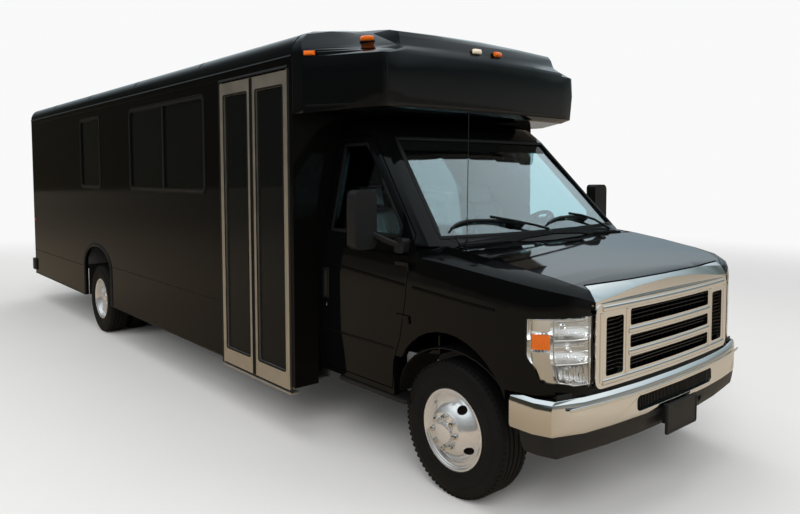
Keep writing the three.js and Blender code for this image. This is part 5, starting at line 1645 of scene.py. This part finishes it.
# ---------------------------------------------------------------- nose
@dataclass
class Nose:
    """The grille's slats, the headlights, the bumper's screen and the blank plate. Sizes in mm."""

    bays: tuple[Point, ...] = ((756, 822), (868, 932), (982, 1066))
    bay_half: float = 415.0
    slot: tuple[float, float] = (473.0, 612.0)
    grille_back: tuple[float, float] = (-655.0, -649.0)
    lamp_levels: tuple[float, float] = (724.0, 1070.0)
    lamp_grid: tuple[int, int] = (24, 20)
    chambers: tuple[float, ...] = (722.0, 838.0, 955.0, 1072.0)
    bumper_front: float = -775.0
    bumper_half: float = 985.0

    def build(self, nodes: Nodes) -> None:
        """Builds the nose.

        Args:
            nodes: the CAD nodes by name.
        """
        self._grille(Shell(nodes, "grille"))
        for side, sign in SIDES.items():
            self._headlight(side, sign, Shell(nodes, f"headlight_{side}"))
        self._bumper()

    def _grille(self, face: Shell) -> None:
        """Dark slats in the bays, and rolled edges on the chrome bars.

        Args:
            face: the grille's surface.
        """
        low, high = self.bays[0][0], self.bays[-1][1]
        for k, (z0, z1) in enumerate(self.bays):
            back = Draft().box((-self.bay_half - 6, self.bay_half + 6), self.grille_back, (z0 - 4, z1 + 4))
            publish(back, f"grille_back_{k}", BLACK_PLASTIC)
            rows = 3
            pitch = (z1 - z0) / (rows + 1)
            turn = Matrix.Rotation(math.pi / 2, 4, "Y")
            slats = Repeat(Pattern.ROW, rows, pitch / 1000, Matrix.Translation(spot(0, -688, z1 - pitch))
                           @ turn)
            slat = placed(shape_at(0.828, 0.05, 0.0045), turn.inverted() @ Matrix.Rotation(math.radians(-9),
                                                                                           4, "X"))
            publish(slats.build(slat), f"grille_slats_{k}", GLOSS_PLASTIC)
            ribs = Repeat(Pattern.ROW, 16, 0.0515, Matrix.Translation(spot(-386, -672, (z0 + z1) / 2)))
            publish(ribs.build(shape_at(0.003, 0.03, (z1 - z0) / 1000 + 0.002)), f"grille_ribs_{k}",
                    BLACK_PLASTIC)
        for side, sign in SIDES.items():
            x0, x1 = sorted((sign * (self.slot[0] - 4), sign * (self.slot[1] + 4)))
            publish(Draft().box((x0, x1), self.grille_back, (low - 4, high - 16)), f"grille_slot_back_{side}",
                    BLACK_PLASTIC)
            turn = Matrix.Rotation(math.pi / 2, 4, "Y")
            slats = Repeat(Pattern.ROW, 14, 0.0205, Matrix.Translation(spot((x0 + x1) / 2, -676, high - 26))
                           @ turn)
            slat = placed(shape_at(0.144, 0.03, 0.004), turn.inverted())
            publish(slats.build(slat), f"grille_slot_slats_{side}", GLOSS_PLASTIC)
            for name, x in (("inner", 444), ("outer", 651)):
                path = face.trace([(sign * x, AHEAD, low - 26), (sign * x, AHEAD, high + 4)], (0, 1, 0), 4)
                publish(moulding(path, 26, 5), f"grille_post_{name}_{side}", CHROME, sharp=60)
        for k, z in enumerate((729, 845, 957, 1091)):
            reach = 640 if k in (0, 3) else 430
            path = face.trace([(x, AHEAD, z) for x in (-reach, 0, reach)], (0, 1, 0), 8)
            publish(moulding(path, 30, 7), f"grille_bar_{k}", CHROME, sharp=60)

    def _face(self, shell: Shell, sign: float) -> list[Lane]:
        """The headlight's outer surface as rows of places, from the grille outwards.

        Args:
            shell: the headlight's surface.
            sign: the sign of x on that side.

        Returns:
            The rows, from the lowest up.
        """
        way = Vector((-sign * 0.42, 0.9, 0)).normalized()
        across = Vector((sign * 0.9, 0.42, 0)).normalized()
        middle = spot(sign * 836, -600, 0)
        rows = []
        (low, high), (up, out) = self.lamp_levels, self.lamp_grid
        for r in range(up + 1):
            z = low + (high - low) * r / up
            start = Vector((middle.x, middle.y, z / 1000)) - way
            hits = [t / 1000 for t in range(-260, 261, 3)
                    if shell.tree.ray_cast(start + across * (t / 1000), way, 1.12)[0] is not None]
            first, last = hits[0], hits[-1]
            rows.append([shell.land(start + across * (first + (last - first) * k / out), way)
                         for k in range(out + 1)])
        return rows

    def _headlight(self, side: str, sign: float, shell: Shell) -> None:
        """A clear cover over three bowls, an amber corner and its bulbs.

        Args:
            side: right or left, as in the node names.
            sign: the sign of x on that side.
            shell: the headlight's surface.
        """
        rows = self._face(shell, sign)

        def bowl(r: int, c: int) -> float:
            """How far the reflector stands behind the cover.

            Args:
                r: the row's number.
                c: the place's number in the row.

            Returns:
                The offset in mm, less than zero.
            """
            z = self.lamp_levels[0] + (self.lamp_levels[1] - self.lamp_levels[0]) * r / self.lamp_grid[0]
            k = max(i for i, level in enumerate(self.chambers[:-1]) if z >= level)
            share = 2 * (z - self.chambers[k]) / (self.chambers[k + 1] - self.chambers[k]) - 1
            across = 2 * c / self.lamp_grid[1] - 1
            edge = min(1.0, max(0.0, (1 - abs(across)) * 8), (1 - abs(share)) * 3.2)
            return -9 - 16 * edge - 26 * max(0.0, 1 - across ** 2) * max(0.0, 1 - share ** 2)

        def bright(draft: Draft, name: str) -> None:
            """One chrome part of the lamp."""
            publish(draft, f"headlight_{name}_{side}", CHROME, sharp=50)

        dish = publish(patch(rows, bowl, 2.5), f"headlight_bowl_{side}", REFLECTOR,
                       sharp=50)
        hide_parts(f"headlight_{side}")
        publish(patch(rows, 0.0, 3.0), f"headlight_cover_{side}", CLEAR_LENS, sharp=50)
        border = rows[0] + [row[-1] for row in rows[1:-1]]
        border += rows[-1][::-1] + [row[0] for row in rows[-2:0:-1]]
        publish(moulding(border, 9, 2.5, closed=True), f"headlight_seal_{side}", SEAL_RUBBER, sharp=60)
        for k, c in enumerate(range(2, 14, 2)):
            flute = [row[c] for row in rows[1:8]]
            bright(moulding([(q - n * 0.022, n) for q, n in flute], 5, 9), f"flute_{k}")
        ribs = [(8, 9), (10, 4), (12, 4), (14, 4), (16, 9), (18, 4), (20, 4), (22, 4)]
        for k, (r, size) in enumerate(ribs):
            shelf = [(q - n * 0.011, n) for q, n in rows[r][1:14]]
            bright(moulding(shelf, size, 5), f"rib_{k}")
        post = [(q - n * 0.008, n) for q, n in (row[13] for row in rows[1:24])]
        bright(moulding(post, 7, 6), "post")
        for name, first, last in (("upper", 19, 24), ("lower", 2, 13)):
            bright(patch([row[14:20] for row in rows[first:last]], -8, 5), f"panel_{name}")
        amber = [row[14:20] for row in rows[13:19]]
        publish(patch(amber, -5, 10), f"headlight_amber_{side}", AMBER_LENS, sharp=50)
        inset = rows[1][1:20] + [row[19] for row in rows[2:23]] + rows[23][1:20][::-1]
        inset += [row[1] for row in rows[22:1:-1]]
        bright(moulding([(q - n * 0.003, n) for q, n in inset], 7, 4, closed=True), "bezel")
        for name, r, c in (("main", 20, 9), ("dip", 12, 7)):
            place, normal = rows[r][c]
            turn = facing(place - normal * 0.06, Vector((0, 0, 1)), normal)
            outline = ((0.02, 0.0), (0.02, 0.008), (0.011, 0.012), (0.011, 0.036), (0.008, 0.043),
                       (0.0001, 0.046))
            bright(placed(stud(outline, 18), turn), f"bulb_{name}")

    def _bow(self, x: float) -> float:
        """How far forward the bumper's face is at a place across it."""
        return self.bumper_front + 95 * abs(x / self.bumper_half) ** 2.4

    def _bumper(self) -> None:
        """The dark screen in the bumper's slot, the strip over it and the blank plate holder."""
        def across(half: int, step: int, back: float, level: float) -> Lane:
            """A lane along the bumper's bow, behind its face."""
            xs = range(-half, half + 1, step)
            return flat_lane([(x, self._bow(x) + back, level) for x in xs], (0, -1, 0))

        path = across(410, 41, 30, 583)
        publish(moulding(path, 92, 4, Section.FLAT), "bumper_slot_back", BLACK_PLASTIC)
        bars = [facing(place, Vector((1, 0, 0)), normal) for place, normal in across(392, 14, 22, 583)]
        publish(Scatter(bars).build(shape_at(0.003, 0.078, 0.012)), "bumper_slot_bars", GLOSS_PLASTIC)
        strip = across(900, 75, 60, 692)
        publish(moulding(strip, 22, 8, Section.FLAT), "bumper_top_strip", BLACK_PLASTIC)
        roll = across(880, 44, 0.6, 640)
        publish(moulding(roll, 16, 2.5), "bumper_rib", CHROME, sharp=60)
        plate = Draft().prism(rounded(-164, 164, 370, 534, 12), "y", -795, -783)
        publish(plate, "front_plate_holder", BLACK_PLASTIC, bevel=3)
        rim = flat_lane([(u, -795, v) for u, v in rounded(-154, 154, 380, 524, 8)], (0, -1, 0))
        publish(moulding(rim, 10, 4, closed=True), "front_plate_rim", BLACK_PLASTIC)
        arms = Draft()
        for x in (-120, 120):
            arms.box((x - 16, x + 16), (-784, -752), (420, 520))
        publish(arms, "front_plate_arms", BLACK_PLASTIC)


# ---------------------------------------------------------------- inside
@dataclass
class Interior:
    """Seats, benches, the steering wheel and what is on the dashboard. Sizes in mm."""

    wheel_at: tuple[float, float, float] = (400.0, 570.0, 1320.0)
    wheel_radius: float = 195.0
    wheel_rise: float = 40.0
    bench_rear: float = 7860.0
    bench_fronts: dict[str, float] = field(default_factory=lambda: {"right": 2337.0, "left": 1564.0})
    pad_length: float = 520.0
    plinth: tuple[float, float] = (766.0, 1018.0)
    plinth_sides: tuple[float, float] = (670.0, 1128.0)
    board: float = 18.0

    def build(self) -> None:
        """Builds what is inside."""
        for side, sign in SIDES.items():
            self._bench(side, sign)
        self._cab_seat("passenger", -560)
        self._cab_seat("driver", 560)
        self._steering_wheel()
        self._dashboard()

    def _pad(self, name: str, centre: Vector, axes: tuple[Vector, Vector], size: Point, crown: float,
             seams: int = 2) -> bpy.types.Object:
        """One padded piece.

        Args:
            name: its name.
            centre: its middle, in metres.
            axes: the direction of its width, and the way that it faces.
            size: width, depth and thickness in metres.
            crown: how far it swells.
            seams: sewn channels.

        Returns:
            The pad.
        """
        pad = placed(cushion(size, crown, seams, (28, 14)), facing(centre, *axes))
        made = publish(pad, name, BLACK_VINYL, sharp=60)
        return made

    def _bench(self, side: str, sign: float) -> None:
        """A long bench: a panelled plinth with a row of seat and back cushions.

        Args:
            side: right or left, as in the node names.
            sign: the sign of x on that side.
        """
        front = self.bench_fronts[side]
        length = self.bench_rear - front
        count = round(length / self.pad_length)
        step = length / count
        along, up, out = Vector((0, 1, 0)), Vector((0, 0, 1)), Vector((-sign, 0, 0))
        first = None
        for k in range(count):
            y = front + step * (k + 0.5)
            seat = self._pad(f"bench_seat_{side}_{k}", spot(sign * 880, y, 1070), (along, up),
                             ((step - 5) / 1000, 0.494, 0.092), 0.014, 1)
            self._pad(f"bench_back_{side}_{k}", spot(sign * 1078, y, 1340), (along, out),
                      ((step - 5) / 1000, 0.43, 0.08), 0.014, 2)
            first = first or seat
        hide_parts(f"bench_{side}")
        pieces, (face, wall) = Draft(), self.plinth_sides
        for y0, y1 in ((front, 4826), (5774, self.bench_rear)):
            pieces.box((sign * face, sign * (face + self.board)), (y0, y1), self.plinth)
            for ends in ((y0, y0 + self.board), (y1 - self.board, y1)):
                pieces.box((sign * (face + self.board), sign * wall), ends, self.plinth)
        publish(pieces, f"bench_plinth_{side}", GREY_TRIM, bevel=2)
        deck = Draft().box((sign * 640, sign * wall), (front, self.bench_rear), (1004, 1020))
        publish(deck, f"bench_deck_{side}", GREY_TRIM, bevel=2)
        panel = Draft().box((sign * 1122, sign * 1140), (front, self.bench_rear), (1020, 1560))
        publish(panel, f"bench_back_panel_{side}", GREY_TRIM, bevel=2)

    def _cab_seat(self, name: str, x: float) -> None:
        """A cab seat with a bolstered cushion, a tilted back and a headrest.

        Args:
            name: driver or passenger.
            x: the seat's middle, in mm.
        """
        across, up = Vector((1, 0, 0)), Vector((0, 0, 1))
        seat = self._pad(f"{name}_seat_pad", spot(x, 905, 1018), (across, up), (0.3, 0.44, 0.112), 0.012, 2)
        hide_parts(f"seat_{name}")
        tilt = Vector((0, -math.cos(math.radians(16)), math.sin(math.radians(16))))
        self._pad(f"{name}_back_pad", spot(x, 1172, 1292), (across, tilt), (0.3, 0.44, 0.1), 0.014, 2)
        for side, sign in SIDES.items():
            lean = Vector((-sign * 0.35, 0, 1)).normalized()
            self._pad(f"{name}_seat_bolster_{side}", spot(x + sign * 185, 905, 1026), (Vector((0, 1, 0)),
                                                                                       lean),
                      (0.44, 0.085, 0.118), 0.012, 0)
            lean = (tilt + Vector((-sign * 0.35, 0, 0))).normalized()
            self._pad(f"{name}_back_bolster_{side}", spot(x + sign * 180, 1166, 1290),
                      (Vector((0, math.sin(math.radians(16)), math.cos(math.radians(16)))), lean),
                      (0.43, 0.08, 0.106), 0.012, 0)
        self._pad(f"{name}_headrest", spot(x, 1252, 1574), (across, tilt), (0.26, 0.16, 0.075), 0.01, 0)
        frame = Draft()
        for sx in (-150, 150):
            frame.box((x + sx - 22, x + sx + 22), (750, 1120), (728, 950))
        frame.box((x - 200, x + 200), (720, 1120), (948, 962))
        publish(frame, f"{name}_seat_base", BLACK_PLASTIC, bevel=6)
        posts = Draft()
        for sx in (-50, 50):
            posts.joined(Draft().pipe([spot(x + sx, 1222, 1470), spot(x + sx, 1248, 1560)], 6))
        publish(posts, f"{name}_headrest_posts", CHROME)

    def _steering_wheel(self) -> None:
        """A padded rim, four spokes and a blank hub."""
        rise = math.radians(self.wheel_rise)
        centre = spot(*self.wheel_at)
        axis = Vector((0, math.cos(rise), math.sin(rise)))
        turn = facing(centre, Vector((1, 0, 0)), axis)
        radius = self.wheel_radius / 1000
        rim = [turn @ Vector((radius * u, radius * v, 0)) for u, v in circle(60)]
        wheel = publish(Draft().pipe(rim, 14.5, 12, closed=True), "steering_rim", BLACK_VINYL,
                        "steering_wheel", 60)
        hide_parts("steering_wheel")
        spokes = Draft()
        for angle in (-18, 198, 250, 290):
            a = math.radians(angle)
            way, side = Vector((math.cos(a), math.sin(a), 0)), Vector((-math.sin(a), math.cos(a), 0))
            spokes.skin([[turn @ (way * r + side * u * w + Vector((0, 0, h + v * 0.006)))
                          for u, v in ((-1, -1), (1, -1), (1, 1), (-1, 1))]
                         for r, w, h in ((0.05, 0.03, -0.018), (0.12, 0.018, -0.016), (radius, 0.013, 0.0))])
        publish(spokes, "steering_spokes", BLACK_PLASTIC, "steering_wheel", bevel=3)
        hub = cushion((0.17, 0.15, 0.06), 0.012, steps=(16, 14))
        publish(placed(hub, turn @ Matrix.Translation((0, -0.01, -0.012))), "steering_hub", BLACK_PLASTIC,
                "steering_wheel", sharp=60)
        column = [turn @ Vector((0, 0, h)) for h in (-0.03, -0.044)]
        publish(Draft().pipe(column, 26, 20), "steering_boss", BLACK_PLASTIC, "steering_wheel")

    def _dashboard(self) -> None:
        """The binnacle with its dials, vents and a blank radio panel."""
        def panel(name: str, x: float, z: float, size: Point, finish: Finish, off: float = 6.0) -> Matrix:
            """A rounded panel on the dashboard's rear face.

            Args:
                name: the piece's name.
                x: its middle, in mm.
                z: its middle's height, in mm.
                size: its width and height, in mm.
                finish: its finish.
                off: how far its face stands off the dashboard, in mm.

            Returns:
                The matrix of the middle of its face.
            """
            slope = Vector((0, 0.994, 0.11)).normalized()
            turn = facing(spot(x, 520 - (z - 1110) * 0.111 + off, z), Vector((1, 0, 0)), slope)
            outline = rounded(-size[0] / 2000, size[0] / 2000, -size[1] / 2000, size[1] / 2000, 0.012)
            plate = Draft().skin([[turn @ Vector((u, v, w)) for u, v in outline] for w in (-0.012, 0.0)])
            publish(plate, name, finish, bevel=2)
            return turn

        turn = panel("dial_panel", 400, 1222, (360, 120), BLACK_PLASTIC)
        dials = Draft()
        hands = Draft()
        for u, radius in ((-0.085, 0.048), (0.035, 0.048), (0.125, 0.028)):
            dials.skin([[turn @ Vector((u + r * x, r * y, h)) for x, y in circle(36)]
                        for r, h in ((radius, 0.0005), (radius, 0.0035), (radius - 0.003, 0.0035),
                                     (radius - 0.004, 0.001))])
            hands.skin([[turn @ Vector((u + x, y, h)) for x, y in
                         ((-0.002, -0.006), (0.002, -0.006), (0.0006, radius * 0.8), (-0.0006, radius * 0.8))]
                        for h in (0.0015, 0.0025)])
        publish(dials, "dials", DIAL_FACE)
        publish(hands, "dial_hands", AMBER_LENS)
        turn = panel("radio_panel", 20, 1190, (210, 120), BLACK_PLASTIC)
        knobs = [turn @ Matrix.Translation((u, v, 0)) for u, v in ((-0.07, -0.03), (0.07, -0.03),
                                                                   (0.0, -0.03))]
        publish(Scatter(knobs).build(knob_at(0.013, 0.016, 20)), "radio_knobs", GLOSS_PLASTIC)
        for k, x in enumerate((-620, -120, 160, 660)):
            turn = panel(f"vent_{k}", x, 1262, (130, 56), BLACK_PLASTIC)
            blades = Repeat(Pattern.ROW, 5, 0.009, turn @ Matrix.Translation((0, -0.018, 0.002))
                            @ Matrix.Rotation(math.pi / 2, 4, "Z"))
            publish(blades.build(shape_at(0.002, 0.118, 0.006)), f"vent_blades_{k}", GLOSS_PLASTIC)
        panel("glove_box", -480, 1166, (400, 120), GREY_TRIM, 4)


# ---------------------------------------------------------------- underneath
@dataclass
class Underside:
    """Wheel liners, splash guards, mud flaps and the ends of the rear bumper. Sizes in mm."""

    guard: tuple[tuple[float, float], ...] = ((640, 650), (4836, 5764), (560, 965))
    flap: tuple[float, float] = (925, 225)
    arch: tuple[float, float, float] = (440, 470, 330)
    arch_sides: tuple[float, float] = (690, 950)

    def build(self) -> None:
        """Builds what hangs under the floor."""
        for side, sign in SIDES.items():
            (x0, x1), along, level = self.guard
            guard = Draft().box((sign * x0, sign * x1), along, level)
            publish(guard, f"rear_splash_guard_{side}", FRAME_STEEL)
            middle, half = sign * self.flap[0], self.flap[1]
            flap = Draft().prism(rounded(middle - half, middle + half, 352, 705, 12, 3), "y", 5752, 5760)
            publish(flap, f"rear_mud_flap_{side}", SEAL_RUBBER, bevel=2)
            reach, foot, rise = self.arch
            arc = [(-reach, foot), *((reach * math.cos(a), foot + rise * math.sin(a))
                                     for a in (math.pi * (1 - k / 16) for k in range(17))), (reach, foot)]
            near, far = self.arch_sides
            sheet = [[spot(sign * x, y, z) for y, z in arc] for x in (near, far)]
            outer = [[spot(sign * x, y * 1.012, z + 6) for y, z in arc] for x in (far, near)]
            liner = Draft().skin([*sheet, *outer], caps=False, closed=False, looped=True)
            publish(liner, f"front_wheel_liner_{side}", SEAL_RUBBER)
            end = Draft().prism(rounded(sign * 1165 - 46, sign * 1165 + 46, 8040, 8212, 18, 4), "z", 402, 560)
            publish(end, f"rear_bumper_end_{side}", BLACK_PLASTIC, bevel=6)


# ---------------------------------------------------------------- studio
@dataclass
class Studio:
    """The floor, the soft lights and the camera.

    Attributes:
        camera_at: the camera's place in metres.
        azimuth: degrees that it looks away from straight along the bus.
        dip: degrees that it looks down.
        roll: degrees that it leans.
        lens: focal length in mm on a 36 mm sensor.
        shift: the lens's shift.
        floor_half: half the floor's side in metres.
        fade: where the floor starts to go over into white, and where it has, in metres.
        white: what is behind the bus.
    """

    camera_at: tuple[float, float, float] = (-3.499, -6.276, 1.749)
    azimuth: float = 40.38
    dip: float = 3.35
    roll: float = -0.155
    lens: float = 30.69
    shift: tuple[float, float] = (0.00125, -0.055)
    floor_half: float = 70.0
    fade: tuple[float, float] = (6.5, 15.0)
    white: tuple[float, float, float] = (0.95, 0.95, 0.95)

    def build(self) -> None:
        """Makes everything that isn't the bus."""
        bpy.context.scene.view_settings.view_transform = "Standard"
        self._camera()
        self._floor()
        self._world()
        for name, at, aim, size, power in (
            ("key", (-9, -11, 9), (0, -2, 1), 8.0, 900),
            ("fill", (-14, 4, 6), (0, 0, 1.2), 9.0, 520),
            ("front", (7, -15, 6), (0, -3, 1), 7.0, 420),
            ("top", (0, 0, 11), (0, 0, 0), 12.0, 700),
            ("back", (8, 13, 7), (0, 2, 1), 9.0, 600),
        ):
            self._lamp(name, Vector(at), Vector(aim), size, power)

    def _camera(self) -> None:
        """Places the camera."""
        data = bpy.data.cameras.new("camera")
        data.lens, data.sensor_width = self.lens, 36.0
        data.shift_x, data.shift_y = self.shift
        data.clip_end = 500
        made = bpy.data.objects.new("camera", data)
        bpy.context.scene.collection.objects.link(made)
        a, e = math.radians(self.azimuth), math.radians(self.dip)
        look = Vector((math.sin(a) * math.cos(e), math.cos(a) * math.cos(e), -math.sin(e)))
        turn = look.to_track_quat("-Z", "Y").to_matrix().to_4x4()
        made.matrix_world = Matrix.Translation(self.camera_at) @ turn @ Matrix.Rotation(
            math.radians(self.roll), 4, "Z")
        bpy.context.scene.camera = made

    def _floor(self) -> None:
        """Lays a pale floor that goes over into the white behind it away from the bus; in reflections it
        shows a painted tan, darker towards the bus's right.
        """
        size = self.floor_half
        mesh = bpy.data.meshes.new("floor")
        corners = [(-size, -size, 0), (size, -size, 0), (size, size, 0), (-size, size, 0)]
        mesh.from_pydata(corners, [], [(0, 1, 2, 3)])
        made = bpy.data.objects.new("floor", mesh)
        bpy.context.scene.collection.objects.link(made)
        pale = Finish("studio_floor", (0.84, 0.83, 0.81), 0.85, scale=60, depth=0.0001, tint=0.01).material()
        graph = Graph(pale.node_tree)
        nodes = graph.tree.nodes
        place, shader = nodes["Place"].outputs["Object"], nodes["Principled BSDF"]
        paths = graph.add("ShaderNodeLightPath").outputs
        far = graph.add("ShaderNodeVectorMath", {0: place}, operation="LENGTH").outputs["Value"]
        share = graph.ranged(far, self.fade, interpolation_type="SMOOTHSTEP")
        straight = graph.math("MAXIMUM", paths["Is Camera Ray"], paths["Is Transmission Ray"])
        across = graph.add("ShaderNodeSeparateXYZ", {"Vector": place}).outputs["X"]
        # painted reflection: glossy rays see the floor as tan, darker towards the bus's right, so the bus's
        # sides show a painted brown reflection
        painted_reflection_tan = graph.mix(graph.ranged(across, (-1.6, 0.4)), (0.36, 0.28, 0.19), (0.52, 0.44, 0.34))
        colour = shader.inputs["Base Color"]
        graph.feed(colour, graph.mix(paths["Is Glossy Ray"], colour.links[0].from_socket, painted_reflection_tan))
        white = graph.add("ShaderNodeEmission", {"Color": (*self.white, 1)})
        both = graph.add("ShaderNodeMixShader", {0: graph.math("MULTIPLY", share, straight),
                                                 1: shader.outputs["BSDF"], 2: white.outputs["Emission"]})
        graph.feed(nodes["Material Output"].inputs["Surface"], both.outputs["Shader"])
        mesh.materials.append(pale)

    def _world(self) -> None:
        """Surrounds the bus with a plain studio, white but for a darker wall at the bus's right."""
        world = bpy.data.worlds.new("studio")
        bpy.context.scene.world = world
        world.use_nodes = True
        graph = Graph(world.node_tree)
        paths = graph.add("ShaderNodeLightPath").outputs
        way = graph.add("ShaderNodeTexCoord").outputs["Generated"]
        parts = graph.add("ShaderNodeSeparateXYZ", {"Vector": way}).outputs

        def ramp(value: Socket, stops: Sequence[tuple[float, Point]]) -> Socket:
            """Colours along one direction of the studio, from -1 to 1.

            Args:
                value: the direction's part.
                stops: places from 0 to 1, each with its colour.

            Returns:
                The colour's socket.
            """
            fade = graph.add("ShaderNodeValToRGB", {"Fac": graph.ranged(value, (-1.0, 1.0))})
            while len(fade.color_ramp.elements) < len(stops):
                fade.color_ramp.elements.new(0.5)
            for element, (at, shade) in zip(fade.color_ramp.elements, stops):
                element.position, element.color = at, (*shade, 1)
            return fade.outputs["Color"]

        light = ramp(parts["Z"], ((0.0, (0.5, 0.45, 0.4)), (0.5, (0.3, 0.29, 0.27)), (0.54, (0.3, 0.36, 0.4)),
                                  (0.6, (0.42, 0.52, 0.58)), (0.72, (0.82, 0.94, 1.0)),
                                  (1.0, (0.86, 0.95, 1.0))))
        front = ramp(parts["Z"], ((0.0, (0.5, 0.44, 0.36)), (0.5, (0.3, 0.3, 0.28)),
                                  (0.62, (0.1, 0.13, 0.13)), (0.74, (0.5, 0.62, 0.68)),
                                  (0.84, (0.85, 0.95, 1.0))))
        dark = ramp(parts["Z"], ((0.0, (0.14, 0.1, 0.06)), (0.5, (0.045, 0.037, 0.025)),
                                 (0.62, (0.03, 0.038, 0.034)), (0.8, (0.2, 0.25, 0.28)),
                                 (0.92, (0.8, 0.92, 1.0))))
        wall = ramp(parts["X"], ((0.42, (0, 0, 0)), (0.62, (1, 1, 1))))
        ahead = ramp(parts["Y"], ((0.45, (1, 1, 1)), (0.6, (0, 0, 0))))
        studio = graph.mix(wall, dark, graph.mix(ahead, light, front))
        straight = graph.math("MAXIMUM", paths["Is Camera Ray"], paths["Is Transmission Ray"])
        shown = graph.mix(paths["Is Glossy Ray"], (0.9, 0.92, 0.95), studio)
        seen = graph.math("MAXIMUM", straight, paths["Is Glossy Ray"])
        background = graph.tree.nodes["Background"].inputs
        graph.feed(background["Color"], graph.mix(straight, shown, self.white))
        graph.feed(background["Strength"], graph.ranged(seen, (0.0, 1.0), (0.4, 1.0)))

    def _lamp(self, name: str, at: Vector, aim: Vector, size: float, power: float) -> None:
        """Hangs one soft lamp.

        Args:
            name: the lamp's name.
            at: its place.
            aim: what it points at.
            size: its side in metres.
            power: its power in watts.
        """
        data = bpy.data.lights.new(name, "AREA")
        data.size, data.energy = size, power
        made = bpy.data.objects.new(name, data)
        made.visible_glossy = False
        bpy.context.scene.collection.objects.link(made)
        made.matrix_world = Matrix.Translation(at) @ (aim - at).to_track_quat("-Z", "Y").to_matrix().to_4x4()


# ---------------------------------------------------------------- what the CAD frame wears
@dataclass
class FrameDress:
    """Gives every CAD node its finish and smooth curves.

    Attributes:
        finishes: the finish of the nodes whose names start so; the longest start counts.
        corners: the angle in degrees above which a node's edges stay sharp, and its bevel in mm.
    """

    finishes: dict[str, Finish] = field(default_factory=lambda: {
        "coach_": BLACK_PAINT, "rear_wall": BLACK_PAINT, "rear_door": BLACK_PAINT, "front_cap": CAP_PAINT,
        "cab_": CAB_PAINT, "hood": POLISHED_PAINT, "fender": CAB_PAINT,
        "window_": DARK_GLASS, "rear_door_glass": DARK_GLASS, "entry_glass": DARK_GLASS,
        "cab_door_glass": CLEAR_GLASS, "windshield": SCREEN_GLASS,
        "coach_floor": GREY_CARPET, "entry_leaf": SILVER_FRAME,
        "rear_bumper": BLACK_PLASTIC, "bench": BLACK_VINYL, "seat_": BLACK_VINYL,
        "dashboard": GREY_TRIM, "steering_wheel": BLACK_PLASTIC, "mirror": BLACK_PLASTIC,
        "headlight": REFLECTOR, "grille": CHROME, "front_bumper": CHROME, "front_valance": BLACK_PLASTIC,
        "chassis": FRAME_STEEL, "engine": CAST_STEEL, "fuel_tank": FRAME_STEEL, "exhaust": CAST_STEEL,
        "rear_axle": CAST_STEEL, "front_axle": CAST_STEEL, "knuckle": CAST_STEEL, "tie_rod": FRAME_STEEL,
        "front_tyre": TYRE_RUBBER, "rear_tyre": TYRE_RUBBER, "front_rim": DULL_CHROME,
        "rear_rim": DULL_CHROME,
    })
    corners: dict[str, tuple[float, float]] = field(default_factory=lambda: {
        "front_cap": (70.0, 26.0), "front_bumper": (60.0, 5.0), "grille": (50.0, 2.5),
        **dict.fromkeys(("hood", "fender_right", "fender_left", "front_valance", "mirror_right",
                         "mirror_left"), (60.0, 6.0)),
    })

    def build(self, nodes: Nodes) -> None:
        """Dresses the nodes.

        Args:
            nodes: the CAD nodes by name.
        """
        smoother = CadSmoother()
        for name, node in nodes.items():
            keys = [k for k in self.finishes if name.startswith(k)]
            finish = self.finishes[max(keys, key=len)]
            node.data.materials.clear()
            node.data.materials.append(finish.material())
            smoother.dress(node, *self.corners.get(name, (0.0, 0.0)))
        LOG.info("%d CAD nodes dressed", len(nodes))


def main() -> None:
    """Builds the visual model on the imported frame."""
    logging.basicConfig(level=logging.INFO, format="%(message)s")
    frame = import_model()
    Studio().build()
    nodes = frame["nodes"]
    FrameDress().build(nodes)
    Wheels().build()
    CoachTrim().build(nodes)
    CapTrim().build(nodes)
    Cab().build(nodes)
    Nose().build(nodes)
    Interior().build()
    Underside().build()


if __name__ == "__main__":
    main()
